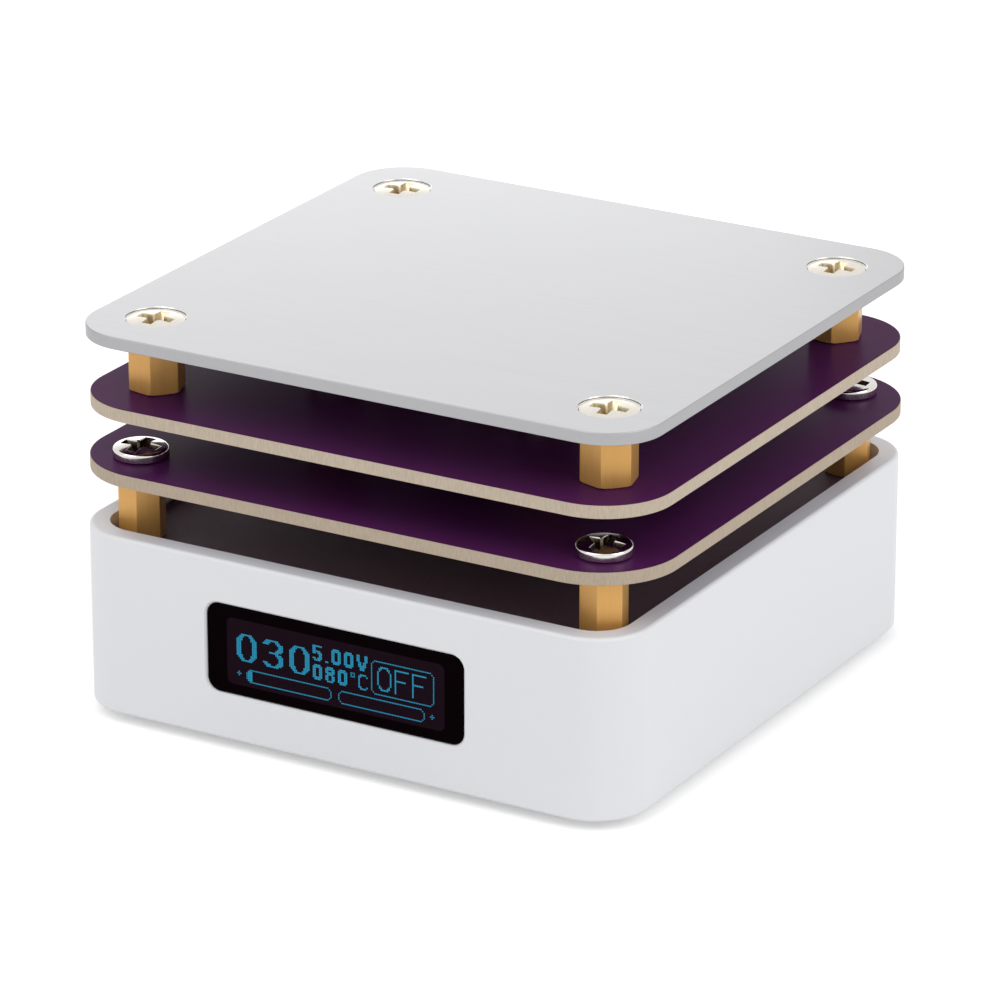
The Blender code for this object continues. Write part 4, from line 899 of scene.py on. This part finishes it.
# Each sign is drawn by strokes on a field one unit wide and one unit high, from the top left.
ROUND_SIGN = ((0.3, 0), (0.7, 0), (1, 0.22), (1, 0.78), (0.7, 1), (0.3, 1), (0, 0.78), (0, 0.22), (0.3, 0))
SIGNS = {
    "0": (ROUND_SIGN,),
    "O": (ROUND_SIGN,),
    "3": (((0, 0.14), (0.25, 0), (0.7, 0), (0.95, 0.14), (0.95, 0.34), (0.7, 0.47), (0.4, 0.47)),
          ((0.7, 0.47), (1, 0.62), (1, 0.84), (0.7, 1), (0.25, 1), (0, 0.86))),
    "5": (((0.95, 0), (0.08, 0), (0.08, 0.44), (0.3, 0.36), (0.7, 0.36), (1, 0.54), (1, 0.82), (0.7, 1),
           (0.25, 1), (0, 0.88)),),
    "8": (((0.3, 0), (0.7, 0), (0.95, 0.14), (0.95, 0.32), (0.65, 0.46), (0.35, 0.46), (0.05, 0.32),
           (0.05, 0.14), (0.3, 0)),
          ((0.35, 0.46), (0, 0.64), (0, 0.84), (0.3, 1), (0.7, 1), (1, 0.84), (1, 0.64), (0.65, 0.46))),
    "F": (((0, 0), (0, 1)), ((0, 0), (1, 0)), ((0, 0.48), (0.8, 0.48))),
    "V": (((0, 0), (0, 0.3), (0.5, 1), (1, 0.3), (1, 0)),),
    "C": (((1, 0.15), (0.75, 0), (0.3, 0), (0, 0.22), (0, 0.78), (0.3, 1), (0.75, 1), (1, 0.85)),),
    ".": (((0, 1), (0, 1)),),
    "degree": (((0, 0), (1, 0), (1, 1), (0, 1), (0, 0)),),
}


def draw_line(dots, start, end, pen):
    """Lights the dots along a line with a pen a number of columns wide."""
    steps = max(int(max(abs(end[0] - start[0]), abs(end[1] - start[1])) * STEPS_PER_DOT), 1)
    for step in range(steps + 1):
        column = start[0] + (end[0] - start[0]) * step / steps
        row = start[1] + (end[1] - start[1]) * step / steps
        for extra in range(pen):
            dots.add((int(math.floor(column + 0.5)) + extra, int(math.floor(row + 0.5))))


def draw_sign(dots, sign, left, top, width, height, pen):
    """Lights a sign's dots in a field of width by height dots."""
    for stroke in SIGNS[sign]:
        points = [(left + x * (width - pen), top + y * (height - 1)) for x, y in stroke]
        for start, end in zip(points, points[1:]):
            draw_line(dots, start, end, pen)


def draw_frame(dots, left, top, right, bottom, cut):
    """Lights the outline of a box whose corners are cut off by a number of dots."""
    corners = ((left + cut, top), (right - cut, top), (right, top + cut), (right, bottom - cut),
               (right - cut, bottom), (left + cut, bottom), (left, bottom - cut), (left, top + cut))
    for start, end in zip(corners, corners[1:] + corners[:1]):
        draw_line(dots, start, end, 1)


def reading():
    """Bold and thin dots of plain figures: a large number, two small ones, a switch word, two bars."""
    dots, thin = set(), set()
    for index, sign in enumerate("030"):
        draw_sign(dots, sign, LARGE_LEFT + LARGE_STEP * index, LARGE_TOP, **LARGE)
    for sign, left, width in VOLTS:
        draw_sign(dots, sign, left, VOLTS_TOP, width, SMALL["height"], SMALL["pen"])
    for index, sign in enumerate("080"):
        draw_sign(dots, sign, SMALL_LEFT + SMALL_STEP * index, SMALL_TOP, **SMALL)
    draw_sign(thin, "degree", RING_LEFT, SMALL_TOP, **RING)
    draw_sign(dots, "C", UNIT_LEFT, SMALL_TOP, **UNIT)
    for index, sign in enumerate("OFF"):
        draw_sign(dots, sign, WORD_LEFT + WORD_STEP * index, WORD_TOP, **WORD)
    for frame_box in (WORD_FRAME, *BARS):
        draw_frame(thin, *frame_box, FRAME_CUT)
    left, top, right, bottom = BARS[0]
    for row in range(top + 1, bottom):
        draw_line(dots, (left + 1, row), (left + BAR_FILLED, row), 1)
    for left in PLUS_LEFTS:
        draw_line(thin, (left, PLUS_ROW), (left + 2, PLUS_ROW), 1)
        draw_line(thin, (left + 1, PLUS_ROW - 1), (left + 1, PLUS_ROW + 1), 1)
    return dots, thin - dots


def make_dots():
    """One flat tile for each lit dot of the display, smaller in the thin lines."""
    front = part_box("display_window")[0].y + PANE_SINK - LAYER
    body = bmesh.new()
    for dots, fill in zip(reading(), (BOLD_FILL, THIN_FILL)):
        tile = rectangle(DOT_PITCH_X * fill, DOT_PITCH_Z * fill, DOT_PITCH_X * DOT_ROUND_SHARE, 1)
        for column, row in sorted(dots):
            across = DOTS_LEFT + (column + 0.5) * DOT_PITCH_X
            level = DOTS_TOP - (row + 0.5) * DOT_PITCH_Z
            place = Matrix.Translation(Vector((across, front, level))) @ upright(FRONT)
            add_loft(body, [(tile, 0), (tile, LAYER)], place)
    add_piece("display_dots", mesh_of("display_dots", body, [finish["lit_dot"]]))


def make_buttons():
    """Two push buttons with rounded, slightly domed faces."""
    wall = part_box("casing")[0].x
    half = BUTTON_HEIGHT / 2
    outline = rectangle(BUTTON_LENGTH, BUTTON_HEIGHT, half)
    size = (BUTTON_LENGTH + 2 * BUTTON_FLANGE, BUTTON_HEIGHT + 2 * BUTTON_FLANGE)
    flange = rectangle(*size, size[1] / 2)
    behind = -CASING_WALL - SEAT_GAP
    sections = [(flange, behind - BUTTON_FLANGE_THICKNESS), (flange, behind), (outline, behind)]
    for step in range(BUTTON_STEPS + 1):
        angle = step / BUTTON_STEPS * math.pi / 2
        inset = BUTTON_ROUND * (1 - math.cos(angle))
        level = BUTTON_PROUD - BUTTON_DOME - BUTTON_ROUND * (1 - math.sin(angle))
        sections.append((set_in(BUTTON_LENGTH, BUTTON_HEIGHT, inset, half), level))
    for share in DOME_SHARES:
        inset = BUTTON_ROUND + (half - BUTTON_ROUND) * (1 - share)
        level = BUTTON_PROUD - BUTTON_DOME * share * share
        sections.append((set_in(BUTTON_LENGTH, BUTTON_HEIGHT, inset, half), level))
    mesh = mesh_of("button_cap", loft(sections), [finish["button_grey"]])
    for name in ("front", "back"):
        node = f"button_cap_{name}"
        at = middle_of(node)
        place = Matrix.Translation((wall, at.y, at.z)) @ upright(LEFT)
        add_piece(f"{node}_fine", mesh, [node], f"button_{name}", place)


def make_socket():
    """The power socket: a drawn shell with a rolled lip, a black tongue and gold contacts."""
    low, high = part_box("power_socket")
    at = Vector((0, high.y, (low.z + high.z) / 2))
    place = Matrix.Translation(at) @ upright(BACK)
    half = SOCKET_HEIGHT / 2
    sections = [(rectangle(SOCKET_WIDTH, SOCKET_HEIGHT, half, SOCKET_STEPS), -SOCKET_LENGTH)]
    for step in range(LIP_STEPS + 1):
        angle = step / LIP_STEPS * math.pi
        inset = SOCKET_SHELL / 2 * (1 - math.cos(angle))
        level = -SOCKET_SHELL / 2 * (1 - math.sin(angle))
        sections.append((set_in(SOCKET_WIDTH, SOCKET_HEIGHT, inset, half - inset, SOCKET_STEPS), level))
    hollow = set_in(SOCKET_WIDTH, SOCKET_HEIGHT, SOCKET_SHELL, half - SOCKET_SHELL, SOCKET_STEPS)
    floor = SOCKET_BACK - SOCKET_LENGTH
    sections.append((hollow, floor))
    mesh = mesh_of("power_socket_shell", loft(sections, place), [finish["socket_steel"]])
    add_piece("power_socket_shell", mesh, ["power_socket"])

    tongue = rectangle(TONGUE_WIDTH, TONGUE_THICKNESS, TONGUE_ROUND, TONGUE_STEPS)
    tip = rectangle(TONGUE_WIDTH - TONGUE_TIP_NARROWING, TONGUE_THICKNESS - TONGUE_TIP_THINNING,
                    TONGUE_TIP_ROUND, TONGUE_STEPS)
    body = loft([
        (tongue, floor - TONGUE_ROOT),
        (tongue, -TONGUE_SETBACK - TONGUE_TIP),
        (tip, -TONGUE_SETBACK),
    ], place)
    mesh = mesh_of("power_socket_tongue", body, [finish["black_plastic"]])
    add_piece("power_socket_tongue", mesh)

    body = bmesh.new()
    contact = rectangle(CONTACT_WIDTH, CONTACT_THICKNESS, CONTACT_ROUND, 1)
    ends = [(contact, floor + CONTACT_START), (contact, -TONGUE_SETBACK - CONTACT_SETBACK)]
    for index in range(CONTACTS):
        across = (index - (CONTACTS - 1) / 2) * CONTACT_PITCH
        for side in (-1, 1):
            add_loft(body, ends, place @ Matrix.Translation((across, side * TONGUE_THICKNESS / 2, 0)))
    add_piece("power_socket_contacts", mesh_of("power_socket_contacts", body, [finish["gold"]]))


def make_feet():
    """Rubber feet with rounded edges and a shallow ring in each sole."""
    low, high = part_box("foot_front_left")
    radius = (high.x - low.x) / 2
    profile = [(radius * SOLE_RING_INNER_SHARE, SOLE_RING_DEPTH), (radius * SOLE_RING_OUTER_SHARE, 0)]
    for step in range(FOOT_STEPS + 1):
        angle = step / FOOT_STEPS * math.pi / 2
        inset = FOOT_EDGE_ROUND * (1 - math.sin(angle))
        profile.append((radius - inset, FOOT_EDGE_ROUND * (1 - math.cos(angle))))
    profile.append((radius, high.z - low.z))
    mesh = mesh_of("foot", turned(profile), [finish["foot_rubber"]])
    at_corners("foot", mesh, 0.0, [0.0] * len(CORNERS))


# Stage, light and camera

def seen_share(nodes, links):
    """1 for camera, glossy and transmission rays, and 0 for the rest."""
    path = nodes.new("ShaderNodeLightPath")
    share = path.outputs["Is Camera Ray"]
    for name in ("Is Glossy Ray", "Is Transmission Ray"):
        either = nodes.new("ShaderNodeMath")
        either.operation = "MAXIMUM"
        links.new(share, either.inputs[0])
        links.new(path.outputs[name], either.inputs[1])
        share = either.outputs[0]
    return share


def make_world():
    """White where it is seen or mirrored, and a softer fill for everything else."""
    world = bpy.data.worlds.new("studio")
    world.use_nodes = True
    nodes, links = world.node_tree.nodes, world.node_tree.links
    fill = nodes["Background"]
    fill.inputs["Color"].default_value = WHITE
    fill.inputs["Strength"].default_value = FILL_STRENGTH
    seen = nodes.new("ShaderNodeBackground")
    seen.inputs["Color"].default_value = WHITE
    seen.inputs["Strength"].default_value = 1.0
    mix = nodes.new("ShaderNodeMixShader")
    links.new(seen_share(nodes, links), mix.inputs[0])
    links.new(fill.outputs[0], mix.inputs[1])
    links.new(seen.outputs[0], mix.inputs[2])
    links.new(mix.outputs[0], nodes["World Output"].inputs["Surface"])
    bpy.context.scene.world = world


def make_floor():
    """A wide pale floor that keeps the part's shadow and is white where it is lit."""
    material = mottled("pale floor", (0.90, 0.90, 0.90), 0.9, grain=0.02, mottle=0.004, uneven=0.02,
                       specular=0.0)
    nodes, links = material.node_tree.nodes, material.node_tree.links
    shader = nodes["Principled BSDF"]
    lift = nodes.new("ShaderNodeEmission")
    lift.inputs["Color"].default_value = WHITE
    lift.inputs["Strength"].default_value = FLOOR_LIFT
    dark = nodes.new("ShaderNodeEmission")
    dark.inputs["Strength"].default_value = 0.0
    choice = nodes.new("ShaderNodeMixShader")
    links.new(seen_share(nodes, links), choice.inputs[0])
    links.new(dark.outputs[0], choice.inputs[1])
    links.new(lift.outputs[0], choice.inputs[2])
    total = nodes.new("ShaderNodeAddShader")
    links.new(shader.outputs[0], total.inputs[0])
    links.new(choice.outputs[0], total.inputs[1])
    links.new(total.outputs[0], nodes["Material Output"].inputs["Surface"])
    floor = bmesh.new()
    bmesh.ops.create_grid(floor, x_segments=FLOOR_CELLS, y_segments=FLOOR_CELLS, size=FLOOR_REACH)
    mesh = mesh_of("floor", floor, [material])
    ground = bpy.data.objects.new("floor", mesh)
    ground.location.z = -FLOOR_SINK
    bpy.context.scene.collection.objects.link(ground)


def direction(azimuth, elevation):
    """Unit vector from the part. Azimuth 0 is the front and 90 degrees is the right."""
    flat = math.cos(elevation)
    return Vector((math.sin(azimuth) * flat, -math.cos(azimuth) * flat, math.sin(elevation)))


def add_light(name, azimuth, elevation, distance, width, height, watts):
    """A soft light that faces the part, at angles in degrees."""
    light = bpy.data.lights.new(name, "AREA")
    light.shape = "RECTANGLE"
    light.size = width
    light.size_y = height
    light.energy = watts
    lamp = bpy.data.objects.new(name, light)
    away = direction(math.radians(azimuth), math.radians(elevation))
    lamp.location = LIGHT_TARGET + away * distance
    lamp.rotation_euler = (-away).to_track_quat("-Z", "Y").to_euler()
    bpy.context.scene.collection.objects.link(lamp)


def make_camera():
    """The camera at the photograph's angle."""
    camera = bpy.data.objects.new("camera", bpy.data.cameras.new("camera"))
    away = direction(CAMERA_AZIMUTH, CAMERA_ELEVATION)
    camera.location = CAMERA_TARGET + away * CAMERA_DISTANCE
    camera.rotation_euler = (-away).to_track_quat("-Z", "Y").to_euler()
    camera.data.lens = CAMERA_LENS
    camera.data.sensor_width = CAMERA_SENSOR
    camera.data.clip_start = CAMERA_NEAR
    camera.data.clip_end = CAMERA_FAR
    bpy.context.scene.collection.objects.link(camera)
    bpy.context.scene.camera = camera


for row in frame["record"]["subparts"]:
    frame["nodes"][row["node"]].data.materials[0] = finish[row["material_slot"]]
make_plate()
make_board("upper_board", UPPER_BOARD_CORNER_RADIUS, "upper_edge",
           (("upper_standoff", SHANK_HOLE_RADIUS), ("inner_screw", SCREW_HOLE_RADIUS)))
# The lower board's edge takes the darker fibre colour, which is painted shade.
make_board("lower_board", LOWER_BOARD_CORNER_RADIUS, "shaded_lower_edge",
           (("lower_screw", LOWER_SCREW_HOLE_RADIUS), ("inner_standoff", SHANK_HOLE_RADIUS)))
make_fastenings()
make_casing()
make_window()
make_dots()
make_buttons()
make_socket()
make_feet()
make_world()
make_floor()
add_light("right softbox", azimuth=90, elevation=36, distance=0.90, width=0.6, height=0.6, watts=2.15)
add_light("front softbox", azimuth=-24, elevation=36, distance=0.95, width=0.7, height=0.6, watts=1.02)
add_light("upper front softbox", azimuth=-24, elevation=62, distance=0.95, width=0.7, height=0.6,
          watts=1.35)
add_light("back softbox", azimuth=222, elevation=13, distance=0.24, width=0.20, height=0.07, watts=0.036)
make_camera()
bpy.context.scene.view_settings.view_transform = "Standard"
